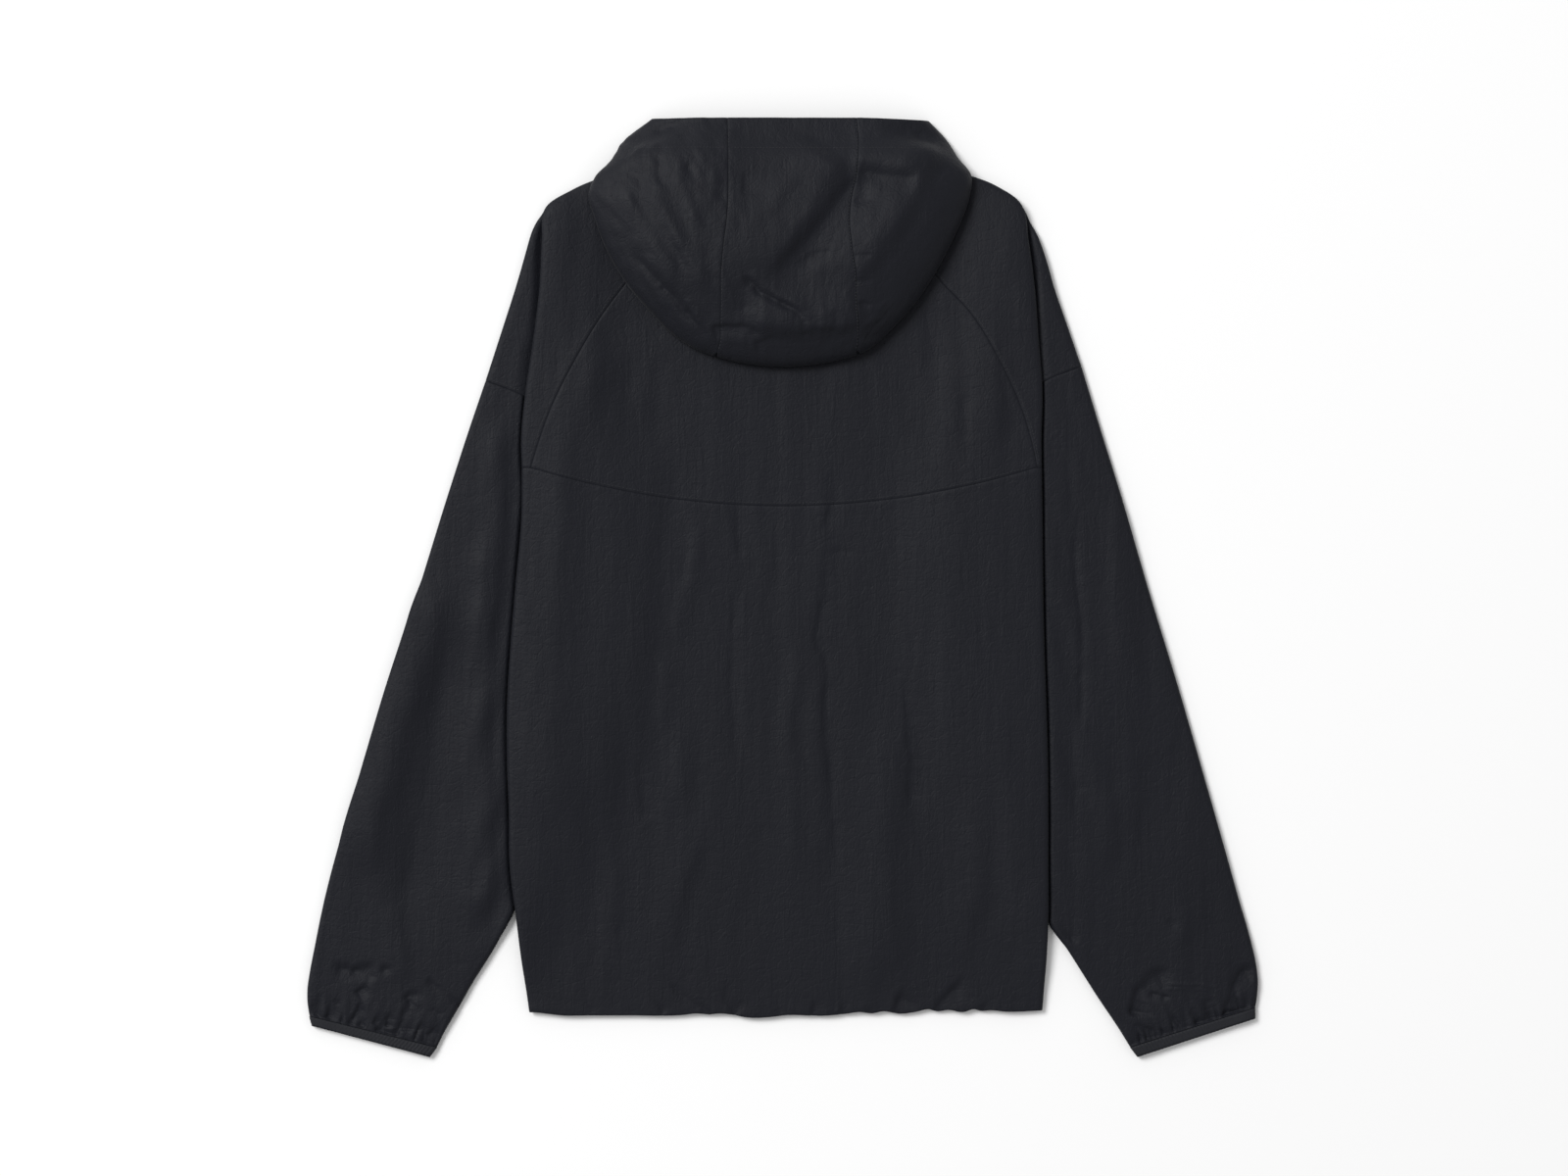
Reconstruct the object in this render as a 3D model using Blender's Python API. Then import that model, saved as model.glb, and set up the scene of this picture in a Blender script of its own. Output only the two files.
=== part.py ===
"""A hooded windbreaker jacket, laid out on its front with its back up.

Blender 4.5. Run it with: blender --background --python part.py
Lengths in the tables and constants are millimetres and the model is in metres. +Z is up from the surface that
the jacket lies on, +Y points to the hood and -X is the wearer's left. The origin is at the middle of the jacket's
plan, on that surface. Each piece of cloth is a wall built on its own middle surface: a grid of points worked out
from the outline of the piece, the height of the layers below it and its folds.
"""

import math

import bpy
import numpy as np

MM = 0.001

# ---------------------------------------------------------------- driving dimensions, in millimetres
WALL = 1.5               # shell cloth and mesh lining together
SEAM = 0.3               # gap between two pieces at a seam
HOOD_SEAM = 0.6          # and at the hood's, whose steep walls lean together
FLOOR = WALL / 2         # middle surface of a sheet that lies on the ground
PRESSED_SLEEVE = 3.4     # middle surface of a sleeve's upper sheet where the body lies on it
BODY_OVER_SLEEVE = 6.0   # middle surface of the body's lower sheet where it lies on a sleeve
FOLD_RISE = 3.0          # height of a rounded fold's outermost line above its lower sheet
FOLD_REACH = 3.5         # how far in from the fold the lower sheet curves up
LOFT = 2.3               # how far a sheet stands above its fold line, once clear of it
LOFT_REACH = 14.0        # distance over which it gets there
ROUNDING = 2.5           # and the distance of the first, round half of that rise
SIDE_WRAP = 50.0         # how far the back panel goes round under the body to its side seam
FOLD_FADE = 22.0         # soft folds fade out over this distance from a sheet's edge
RAISED_RAMP = 62.0       # width over which the upper sheet rises above a sleeve tucked in below it
RAISED_TOP, RAISED_FADE = 350.0, 55.0   # no sleeve lies below it near the neck
CLIMB_MARGIN, CLIMB_RAMP = 13.0, 26.0   # the lower sheet is up before it meets the sleeve, over this distance
CLIMB_ABOVE = 1.6        # above the underarm it is steeper than at the side, by this much
PRESSED_MARGIN, PRESSED_RAMP = 5.0, 20.0   # a sleeve is flat this far out from the body, then rises over this
HEM_Y = -357.0
UNDERARM_Y = 101.0
APEX_Y = 318.0           # where the folded sleeve parts from the shoulder
NECK_X = 90.0            # high point of the shoulder, from the centre
NECK_Y = 363.0
NECK_CORNER_Y = 341.0    # where the raglan seams meet the neck seam
BACK_NECK_Y = 334.0
FRONT_NECK_Y = 301.0
BACK_NECK_POWER = 8.0    # how square the two neck curves are
FRONT_NECK_POWER = 2.6
RIM_Y = 393.5            # straight edge of the hood's opening
HOOD_LOFT = 25.0         # height of the hood's crown above its fold line
HOOD_LOFT_RIM = 15.0
HOOD_ABOVE_BACK = 3.0    # between the middle surfaces of the back and of the hood's lower sheet
HOOD_REACH = 60.0        # distance from the fold over which the crown rises
HOOD_FILL = 110.0        # and from the rim to where it is at its full height
HOOD_FADE = 30.0
HOOD_DROP, HOOD_RAMP = 5.0, 14.0   # the lower sheet leaves the shoulder line this far out, and falls over this
HOOD_SAG = 8.5           # how far the hood's lowest point hangs below its two seams
HOOD_BOTTOM = 3.4        # and how far the fold goes beyond the seams' ends
YOKE_SAG = 32.0          # how far the seam across the back dips below the underarm
ZIP_WIDTH = 6.0
CUFF_WALL = 2.0
ORIGIN = (-0.69, -0.71, 0)   # middle of the jacket's plan in the tables below


class Table:
    """Rows of numbers with named columns. at() reads a column at a value of the first one, smoothly."""

    def __init__(self, names, *rows):
        order = np.argsort([row[0] for row in rows])
        self.names = names.split()
        self.rows = np.array(rows, float)[order]

    def column(self, name):
        return self.rows[:, self.names.index(name)]

    def at(self, name, value):
        x, y = self.rows[:, 0], self.column(name)
        value = np.clip(value, x[0], x[-1])
        slope = np.gradient(y, x)
        i = np.clip(np.searchsorted(x, value) - 1, 0, len(x) - 2)
        step = x[i + 1] - x[i]
        t = (value - x[i]) / step
        return (
            y[i] * (1 + 2 * t) * (1 - t) ** 2
            + slope[i] * step * t * (1 - t) ** 2
            + y[i + 1] * t * t * (3 - 2 * t)
            + slope[i + 1] * step * t * t * (t - 1)
        )


# ---------------------------------------------------------------- outlines seen from above, distances from the centre
BODY_EDGE = Table(
    "y left right",
    (318, 199, 201),
    (293, 202, 205),
    (256, 204, 210),
    (206, 210, 214),
    (157, 217, 217),
    (116, 220, 216),
    (82, 218, 217),
    (33, 222, 217),
    (-16, 226, 218),
    (-66, 230, 219),
    (-116, 232, 221),
    (-190, 230, 222),
    (-239, 229, 222),
    (-277, 224, 222),
    (-304, 221, 221),
    (-330, 217, 219),
    (-358, 213, 217),
)
SHOULDER_LINE = Table(
    "x left right",
    (90, 363, 363),
    (123, 353, 356),
    (160, 342, 345),
    (178, 334, 338),
    (186, 330, 334),
    (193, 325, 330),
    (199, 318, 323.5),
    (201, 314, 318),
)
RAGLAN_BACK = Table(
    "y left right",
    (341, 75.5, 75.5),
    (297, 103, 104),
    (266, 125, 125),
    (240, 145, 150),
    (210, 165, 171),
    (188, 177, 183),
    (165, 189, 194),
    (136, 201, 205),
    (101, 212, 213),
)
RAGLAN_FRONT = Table(
    "y left right", (341, 76, 76), (300, 91, 91), (250, 109, 109), (200, 126, 126), (150, 138, 138), (101, 143, 142)
)
# Where a sleeve is tucked in under the body, below the shoulder.
TUCK = Table("y left right", (318, 199, 201), (200, 179, 180), (101, 150, 149))
# Sections across each sleeve, from the cap seam to the cuff: outer and inner end, and how curved the section is.
SLEEVE_LEFT = Table(
    "row outer_x outer_y inner_x inner_y bend",
    (0, 250, 174, 150, 101, 1),
    (1, 265, 130, 147, 62, 0.6),
    (2, 284, 71, 144, 24, 0.3),
    (3, 306, 0, 147, -50, 0),
    (4, 333, -82, 165, -134, 0),
    (5, 358, -165, 201, -213, 0),
    (6, 373, -214, 222, -260, 0),
    (7, 386, -264, 245, -305, 0),
    (8, 394, -303, 262, -332, 0),
    (9, 399, -330, 275, -355, 0),
    (10, 400, -345, 284, -370, 0),
    (11, 398, -358, 291, -383, 0),
)
SLEEVE_RIGHT = Table(
    "row outer_x outer_y inner_x inner_y bend",
    (0, 250, 186, 149, 101, 1),
    (1, 264, 140, 146, 65, 0.6),
    (2, 283, 79, 143, 28, 0.3),
    (3, 306, 0, 147, -50, 0),
    (4, 331, -82, 164, -134, 0),
    (5, 355, -165, 198, -214, 0),
    (6, 369, -214, 218, -272, 0),
    (7, 383, -264, 238, -302, 0),
    (8, 393, -299, 252, -324, 0),
    (9, 398, -324, 266, -346, 0),
    (10, 398, -340, 279, -365, 0),
    (11, 396, -351, 291, -383, 0),
)
CUFF_LEFT = Table(
    "row outer_x outer_y inner_x inner_y bend", (0, 398, -358, 291, -383, 0), (1, 396, -369, 299, -395, 0)
)
CUFF_RIGHT = Table(
    "row outer_x outer_y inner_x inner_y bend", (0, 396, -351, 291, -383, 0), (1, 396, -363, 299, -395, 0)
)
# The hood's side panels: rows fan out from the seam with the centre panel, over the outline and back underneath,
# down to the fold at the bottom, where seam, outline and underside meet.
HOOD_LEFT = Table(
    "row seam_x seam_y outer_x outer_y under_x under_y",
    (0, 47, 393.5, 111, 393.5, 108, 393.5),
    (1, 46.5, 377, 133, 376, 100, 378),
    (2, 46, 360, 145, 358, 95.5, 366.5),
    (3, 46, 345, 158, 343.5, 86, 353),
    (4, 46, 328, 163, 330, 68, 340.5),
    (5, 47, 309, 158.5, 312, 47, 333),
    (6, 50, 285, 149, 286, 49, 310),
    (7, 52, 260, 133, 258, 52, 284),
    (8, 52, 238, 112, 232.5, 52, 258),
    (9, 52.5, 219, 90, 211, 52, 234),
    (10, 52.8, 207, 72, 200, 53, 214),
    (11, 55.3, 197.2, 58.2, 194.9, 55.3, 197.8),
)
HOOD_RIGHT = Table(
    "row seam_x seam_y outer_x outer_y under_x under_y",
    (0, 61, 393.5, 122, 392, 119, 392.2),
    (1, 62.5, 377, 136, 377, 104, 378),
    (2, 62, 360, 146, 361, 95.5, 366.5),
    (3, 61, 345, 157, 345, 86, 353),
    (4, 57, 328, 155.5, 328, 70, 341),
    (5, 55, 309, 149, 309, 59, 334.5),
    (6, 57, 285, 138, 285, 58, 310),
    (7, 60.5, 260, 123, 258, 60, 284),
    (8, 61, 238, 106, 234, 61, 258),
    (9, 62.5, 219, 88, 215, 62, 234),
    (10, 62.5, 206, 75, 203, 62.5, 214),
    (11, 61.3, 199, 63.8, 196.6, 61.3, 199.6),
)
# Soft folds: the line that each one follows, its half width and its height. A trough has a height below zero.
BACK_FOLDS = Table(
    "x1 y1 x2 y2 width height",
    (-90, 80, -112, -190, 17, 1.6),
    (-182, 100, -178, -170, 18, -1.3),
    (-56, 0, -62, -290, 15, -1.1),
    (-20, 40, -16, -200, 16, 1.0),
    (38, 66, 37, -160, 11, -1.4),
    (66, -40, 70, -260, 14, 1.2),
    (100, -60, 105, -275, 12, -1.5),
    (146, 30, 142, -250, 17, 1.2),
    (190, 40, 192, -250, 13, -0.8),
)
SLEEVE_FOLDS_LEFT = Table(
    "x1 y1 x2 y2 width height",
    (-262, 90, -352, -230, 13, 1.6),
    (-285, -40, -366, -280, 11, -1.4),
    (-243, 60, -262, -200, 12, 1.4),
    (-240, -60, -285, -300, 10, -1.2),
)
SLEEVE_FOLDS_RIGHT = Table(
    "x1 y1 x2 y2 width height",
    (258, 110, 352, -240, 13, 1.4),
    (278, -20, 338, -260, 12, -1.3),
    (240, 60, 262, -200, 12, 1.2),
    (250, -80, 300, -280, 11, -1.1),
)
HOOD_FOLDS = Table(
    "x1 y1 x2 y2 width height",
    (62, 345, -4, 268, 9, -5.0),
    (70, 344, 118, 337, 7, -3.5),
    (-20, 245, 8, 217, 6, -3.5),
    (-120, 285, -70, 215, 7, -3.0),
    (-62, 208, -10, 206, 5, -3.0),
    (-60, 350, -58, 300, 7, 2.0),
)


# ---------------------------------------------------------------- shapes of the layers
def ease(t):
    t = np.clip(t, 0, 1)
    return t * t * (3 - 2 * t)


def dome(distance, reach):
    """0 at a fold, rising steeply and then levelling to 1."""
    s = np.clip(distance / reach, 0, 1)
    return np.sqrt(1 - (1 - s) ** 2)


def loft(distance, reach):
    """As dome, with a rounder start that a wall can follow without crossing itself."""
    return 0.55 * dome(distance, ROUNDING) + 0.45 * dome(distance, reach)


def name_of(side):
    return "left" if side < 0 else "right"


def by_side(table, x, value):
    """Reads the column of the side that each x is on."""
    return np.where(np.asarray(x) < 0, table.at("left", value), table.at("right", value))


def distance_to(line, x, y):
    """Shortest distance from each point to a line of points, seen from above."""
    x, y = np.asarray(x, float)[..., None], np.asarray(y, float)[..., None]
    start, along = line[:-1], line[1:] - line[:-1]
    px, py = x - start[:, 0], y - start[:, 1]
    t = np.clip((px * along[:, 0] + py * along[:, 1]) / (along**2).sum(1), 0, 1)
    return np.hypot(px - t * along[:, 0], py - t * along[:, 1]).min(-1)


def folds_height(folds, x, y):
    """Sum of the soft folds of a table at each point. Each one fades out towards its two ends."""
    total = np.zeros(np.broadcast(x, y).shape)
    for x1, y1, x2, y2, width, height in folds.rows:
        dx, dy = x2 - x1, y2 - y1
        t = ((x - x1) * dx + (y - y1) * dy) / (dx * dx + dy * dy)
        across = np.abs((x - x1) * dy - (y - y1) * dx) / math.hypot(dx, dy)
        total += height * np.exp(-((across / width) ** 2)) * ease(2.5 * t) * ease(2.5 * (1 - t))
    return total


def body_outline(side):
    """From the hem up the side fold, round the shoulder and along it to the neck."""
    name = name_of(side)
    heights = np.linspace(HEM_Y - 20, APEX_Y - 4, 40)
    edge = np.column_stack([side * BODY_EDGE.at(name, heights), heights])
    reach = np.linspace(BODY_EDGE.at(name, APEX_Y) + 1, NECK_X - 4, 30)
    return np.vstack([edge, np.column_stack([side * reach, SHOULDER_LINE.at(name, reach)])])


BODY_OUTLINES = {side: body_outline(side) for side in (-1, 1)}


def inside_body(x, y):
    """Distance in from the body's outline, and 0 outside it."""
    near = np.minimum(*(distance_to(line, x, y) for line in BODY_OUTLINES.values()))
    outside = (np.abs(x) > by_side(BODY_EDGE, x, y)) | (y > by_side(SHOULDER_LINE, x, np.abs(x)))
    return np.where(outside, 0, near)


def sleeve_inner(x, y):
    """How far in the sleeve's cloth reaches under the body: to the tuck, and below the underarm to the inner fold."""
    reach = []
    for name, table in (("left", SLEEVE_LEFT), ("right", SLEEVE_RIGHT)):
        order = np.argsort(table.column("inner_y"))
        below = np.interp(y, table.column("inner_y")[order], table.column("inner_x")[order])
        reach.append(np.where(np.asarray(y) > UNDERARM_Y, TUCK.at(name, y), below))
    return np.where(np.asarray(x) < 0, *reach)


def back_base(x, y):
    """Height of the body's side folds, and of the upper sheet before its loft: raised where a sleeve lies below."""
    raised = ease(1 - (sleeve_inner(x, y) - np.abs(x)) / RAISED_RAMP) * ease((RAISED_TOP - y) / RAISED_FADE)
    return FLOOR + (BODY_OVER_SLEEVE - FLOOR) * raised + FOLD_RISE


def back_z(x, y):
    """Middle surface of the body's upper sheet."""
    inside = inside_body(x, y)
    folds = folds_height(BACK_FOLDS, x, y) * ease(inside / FOLD_FADE)
    return back_base(x, y) + LOFT * loft(inside, LOFT_REACH) + folds


def front_z(x, y):
    """Middle surface of the body's lower sheet: on the ground, and over the sleeves at the sides."""
    inward = np.maximum(sleeve_inner(x, np.minimum(y, UNDERARM_Y)) - np.abs(x), 0)
    away = np.hypot(inward, np.maximum(y - UNDERARM_Y, 0) * CLIMB_ABOVE)
    return FLOOR + (BODY_OVER_SLEEVE - FLOOR) * ease(1 - (away - CLIMB_MARGIN) / CLIMB_RAMP)


def under_fold(low, edge, distance):
    """The lower sheet near a fold: flat, then curving up to the fold's outermost line."""
    return low + (edge - low) * (1 - dome(distance, FOLD_REACH))


def sleeve_z(side, x, y, from_fold):
    """Middle surface of a sleeve's upper sheet, pressed flat where the body lies on it."""
    beyond = distance_to(BODY_OUTLINES[side], x, y) * (np.abs(x) > BODY_EDGE.at(name_of(side), y))
    free = ease((beyond - PRESSED_MARGIN) / PRESSED_RAMP)
    top = PRESSED_SLEEVE + (FLOOR + FOLD_RISE + LOFT - PRESSED_SLEEVE) * free
    edge = FLOOR + (top - FLOOR) * (0.5 + 0.066 * free)
    reach = PRESSED_SLEEVE - edge + 0.5 + (LOFT_REACH - 2) * free
    folds = folds_height(SLEEVE_FOLDS_LEFT if side < 0 else SLEEVE_FOLDS_RIGHT, x, y)
    return edge + (top - edge) * loft(from_fold, reach) + folds * free * ease(from_fold / FOLD_FADE)


def hood_under_z(x, y):
    """Middle surface of the hood's lower sheet: on the body, and down over the shoulder line to the ground."""
    line = by_side(SHOULDER_LINE, x, np.abs(x))
    on_body = back_base(x, np.minimum(y, line)) + LOFT + HOOD_ABOVE_BACK
    return on_body + (FLOOR - on_body) * ease((y - line - HOOD_DROP) / HOOD_RAMP)


def hood_bottom(u):
    """The fold at the bottom of the hood's centre panel, from its left seam to its right one."""
    left, right = HOOD_LEFT.rows[-1], HOOD_RIGHT.rows[-1]
    x = -left[1] + HOOD_SEAM / 2 + (left[1] + right[1] - HOOD_SEAM) * u
    y = left[2] + (right[2] - left[2]) * u - HOOD_BOTTOM
    return x, y - HOOD_SAG * (1 - (2 * u - 1) ** 2)


def hood_outline():
    """From the rim's left corner round the bottom to the rim's right corner."""
    rows = np.linspace(0, 11, 40)
    left = np.column_stack([-HOOD_LEFT.at("outer_x", rows), HOOD_LEFT.at("outer_y", rows)])
    right = np.column_stack([HOOD_RIGHT.at("outer_x", rows), HOOD_RIGHT.at("outer_y", rows)])
    return np.vstack([left, np.column_stack(hood_bottom(np.linspace(0, 1, 12))), right[::-1]])


HOOD_OUTLINE = hood_outline()


def hood_edge_z(x, y):
    return hood_under_z(x, y) + FOLD_RISE


def hood_z(x, y):
    """Middle surface of the hood's upper sheet."""
    inside = distance_to(HOOD_OUTLINE, x, y)
    height = HOOD_LOFT_RIM + (HOOD_LOFT - HOOD_LOFT_RIM) * ease((RIM_Y - y) / HOOD_FILL)
    folds = folds_height(HOOD_FOLDS, x, y) * ease(inside / HOOD_FADE)
    return hood_edge_z(x, y) + height * dome(inside, HOOD_REACH) + folds


# ---------------------------------------------------------------- solids
def material(name, colour, roughness, metallic=0.0):
    made = bpy.data.materials.new(name)
    made.use_nodes = True
    shader = made.node_tree.nodes["Principled BSDF"]
    shader.inputs["Base Color"].default_value = (*colour, 1.0)
    shader.inputs["Roughness"].default_value = roughness
    shader.inputs["Metallic"].default_value = metallic
    return made


def add_object(name, points, faces, finish, place=(0, 0, 0)):
    """points in millimetres from place, which the tables' own frame gives."""
    mesh = bpy.data.meshes.new(name)
    mesh.from_pydata([tuple(p) for p in np.asarray(points) * MM], [], faces)
    mesh.materials.append(finish)
    mesh.shade_smooth()
    mesh.set_sharp_from_angle(angle=math.radians(50))
    obj = bpy.data.objects.new(name, mesh)
    obj.location = [(p - start) * MM for p, start in zip(place, ORIGIN)]
    bpy.context.collection.objects.link(obj)
    return obj


def row_direction(row, ring):
    """Direction of a row at each of its points, over a wall's thickness, so that tight folds offset smoothly."""
    count = len(row)
    line = np.concatenate([row, row, row, row[:1]]) if ring else row
    travelled = np.concatenate([[0], np.linalg.norm(np.diff(line, axis=0), axis=1).cumsum()])
    here = travelled[count : 2 * count] if ring else travelled
    ahead, behind = (
        np.column_stack([np.interp(here + reach, travelled, line[:, k]) for k in range(3)])
        for reach in (WALL / 2, -WALL / 2)
    )
    return ahead - behind


def grid_normals(grid, ring):
    """Unit normals of a grid of points, from its neighbours along rows and columns."""
    across = np.array([row_direction(row, ring) for row in grid])
    normal = np.cross(across, np.gradient(grid, axis=0))
    return normal / np.linalg.norm(normal, axis=2, keepdims=True)


def wall(name, rows, finish, ring=False, thickness=WALL):
    """Closed solid of a cloth wall: the grid of its middle surface, moved half the thickness both ways.
    With ring, each row closes on itself and the piece is a tube."""
    grid = np.array(rows, float)
    count, width = grid.shape[:2]
    offset = grid_normals(grid, ring) * thickness / 2
    points = np.concatenate([(grid + offset).reshape(-1, 3), (grid - offset).reshape(-1, 3)])
    # A sheet on the ground stays on it, whatever its slope does to the offset.
    points[:, 2] = np.maximum(points[:, 2], 0)

    def at(i, j, lower):
        return i * width + j % width + lower * count * width

    faces = []
    for i in range(count - 1):
        for j in range(width if ring else width - 1):
            for lower in (0, 1):
                a, b = at(i, j, lower), at(i, j + 1, lower)
                c, d = at(i + 1, j + 1, lower), at(i + 1, j, lower)
                # Both surfaces of the wall are cut along the same diagonal, so that they never cross.
                faces += [(a, d, c), (a, c, b)] if lower else [(a, b, c), (a, c, d)]
    top = count - 1
    for j in range(width if ring else width - 1):
        faces.append((at(0, j + 1, 0), at(0, j, 0), at(0, j, 1), at(0, j + 1, 1)))
        faces.append((at(top, j, 0), at(top, j + 1, 0), at(top, j + 1, 1), at(top, j, 1)))
    if not ring:
        last = width - 1
        for i in range(count - 1):
            faces.append((at(i, 0, 0), at(i + 1, 0, 0), at(i + 1, 0, 1), at(i, 0, 1)))
            faces.append((at(i + 1, last, 0), at(i, last, 0), at(i, last, 1), at(i + 1, last, 1)))
    return add_object(name, points, faces, finish)


def stack(x, y, z):
    return np.stack(np.broadcast_arrays(x, y, z), -1).astype(float)


def mirrored(rows, side):
    """Rows in the order that keeps a left piece's faces pointing out, as its mirror image's do."""
    return [row[::-1] for row in rows] if side < 0 else rows


# ---------------------------------------------------------------- body
EDGE_STEPS = np.array([0.0, 0.6, 2.2, 5.5, 12.0])   # distances in from a fold of an upper sheet's points
UNDER_STEPS = np.array([0.5, 1.6, 3.6, 9.0])        # and of a lower sheet's points
BODY_SHARES = np.array([0, 0.03, 0.1, 0.18, 0.27, 0.36, 0.46, 0.57, 0.68, 0.79, 0.9, 1])   # rows, hem to underarm
RAGLAN_LEVELS = (101, 120, 150, 190, 230, 262, 285, 306, 318, 329, 341)               # rows, underarm to neck
# Each row of a shoulder starts at one of those levels and rises to the fold: over the sleeve to a height on the
# body's edge, and from the apex on to a distance out on the shoulder line.
OVER_SLEEVE_ROWS = Table("level edge_y", (101, 101), (120, 124), (150, 162), (190, 210), (230, 256), (262, 292))
SHOULDER_ROWS = Table("level edge_x", (285, 200), (306, 178), (318, 152), (329, 127), (341, 107), (353, 95))


SEAM_WIDTH = RAGLAN_BACK.at("left", UNDERARM_Y) + RAGLAN_BACK.at("right", UNDERARM_Y)


def yoke_sag(x):
    """How far the seam across the back dips below the underarm, at a distance x from the centre."""
    return YOKE_SAG * np.clip(1 - (np.asarray(x) / RAGLAN_BACK.at("left", UNDERARM_Y)) ** 2, 0, 1)


def hem_y(x):
    """The hem, which lies a little uneven: highest on the right, and raised at the left corner."""
    return HEM_Y - 2.0 + 3.0 * ease((np.asarray(x) - 20) / 90) + 2.5 * ease((-np.asarray(x) - 185) / 25)


def body_row_y(x, share, top):
    bottom = hem_y(x)
    return bottom + (top - SEAM - bottom) * share


def side_fold(side, share):
    return BODY_EDGE.at(name_of(side), HEM_Y + (UNDERARM_Y - HEM_Y) * share)


def back_panel(finish):
    """From the left side seam under the body, round its side folds and over its top to the right side seam."""
    wrap = np.concatenate([UNDER_STEPS, SIDE_WRAP * np.array([0.44, 0.72, 1])])
    rows = []
    for share in BODY_SHARES:
        left, right = side_fold(-1, share), side_fold(1, share)
        inner = np.linspace(-left + 2.2 * EDGE_STEPS[-1], right - 2.2 * EDGE_STEPS[-1], 17)
        x = np.concatenate([-left + EDGE_STEPS, inner, (right - EDGE_STEPS)[::-1]])
        y = body_row_y(x, share, UNDERARM_Y - yoke_sag(x))
        row = [stack(x, y, back_z(x, y))]
        for side, edge in ((-1, left), (1, right)):
            x = side * (edge - wrap)
            y = body_row_y(x, share, UNDERARM_Y)
            edge_z = back_base(side * edge, y)
            row.append(stack(x, y, under_fold(front_z(x, y), edge_z, wrap)))
        rows.append(np.concatenate([row[1][::-1], row[0], row[2]]))
    return wall("back_panel", rows, finish)


def back_yoke(finish):
    """Upper back, between the two raglan seams, the seam across the back and the neck."""
    u = np.linspace(0, 1, 15)
    rows = []
    for level in RAGLAN_LEVELS:
        share = (level - UNDERARM_Y) / (NECK_CORNER_Y - UNDERARM_Y)
        left, right = RAGLAN_BACK.at("left", level) - SEAM / 2, RAGLAN_BACK.at("right", level) - SEAM / 2
        x = -left + (left + right) * u
        neck = (NECK_CORNER_Y - BACK_NECK_Y) * (1 - np.abs(2 * u - 1) ** BACK_NECK_POWER)
        y = level - (1 - share) * yoke_sag(x * SEAM_WIDTH / (left + right)) - share * neck
        rows.append(stack(x, y, back_z(x, y)))
    return wall("back_yoke", rows, finish)


def front_neck_y(x):
    return FRONT_NECK_Y + (NECK_Y - FRONT_NECK_Y) * (np.abs(x) / NECK_X) ** FRONT_NECK_POWER


def neck_x(y, lowest, power):
    """How far out a neck curve is at a height y."""
    return NECK_X * ((y - lowest) / (NECK_Y - lowest)) ** (1 / power)


FRONT_SHARES = np.array([0, 0.2, 0.38, 0.55, 0.7, 0.82, 0.92, 1])   # columns, zip to side


def front_panel(side, finish):
    """One front, from the zip to the side seam and the front raglan seam, on the ground and over the sleeve."""
    name = name_of(side)
    start = ZIP_WIDTH / 2 + SEAM
    ends = [(side_fold(side, share) - SIDE_WRAP - SEAM, share, None) for share in BODY_SHARES]
    ends += [(RAGLAN_FRONT.at(name, level) - SEAM, 1, level) for level in RAGLAN_LEVELS]
    rows = []
    for number, (outer, share, level) in enumerate(ends):
        centre_y = HEM_Y + (FRONT_NECK_Y - HEM_Y) * number / (len(ends) - 1)
        x = start + (outer - start) * FRONT_SHARES
        if level is None:
            end_y, power = body_row_y(side * outer, share, UNDERARM_Y), 1
            low = hem_y(side * x) - HEM_Y
            y = centre_y + (end_y - centre_y) * FRONT_SHARES + low * (number == 0) * (1 - FRONT_SHARES)
        else:
            power = 1 + (FRONT_NECK_POWER - 1) * (level - UNDERARM_Y) / (NECK_CORNER_Y - UNDERARM_Y)
            end_y = level - 2 * SEAM * (level == UNDERARM_Y)
            y = centre_y + (end_y - centre_y) * (x / outer) ** power
        rows.append(stack(side * x, y, front_z(side * x, y)))
    return wall(f"front_{name}", mirrored(rows, side), finish)


# ---------------------------------------------------------------- sleeves
def section_y(outer_x, outer_y, inner_x, inner_y, bend, x):
    """Height along a sleeve section at a distance x from the centre. A bent one leaves the outer edge nearly
    level and turns down towards the underarm."""
    s = np.clip((outer_x - x) / (outer_x - inner_x), 0, 1)
    drop = outer_y - inner_y
    square = 0.35 * (outer_x - inner_x)
    return outer_y - (1 - bend) * drop * s - bend * (square * s + (drop - square) * s**3)


def outer_edge_x(side, y):
    """The sleeve's outer edge between the apex and the cap seam."""
    cap = (SLEEVE_LEFT if side < 0 else SLEEVE_RIGHT).rows[0]
    lean = 2.5 * max(side, 0)
    line = Table("y x", (cap[2], cap[1]), (250, 225.5 + lean), (297, 210.5 + lean / 2), (309, 205.5), (APEX_Y, 201))
    return line.at("x", y)


CAP_SHARES = np.array([0.1, 0.22, 0.36, 0.5, 0.64, 0.78])   # sleeve columns between the tuck and the outer edge


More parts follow.
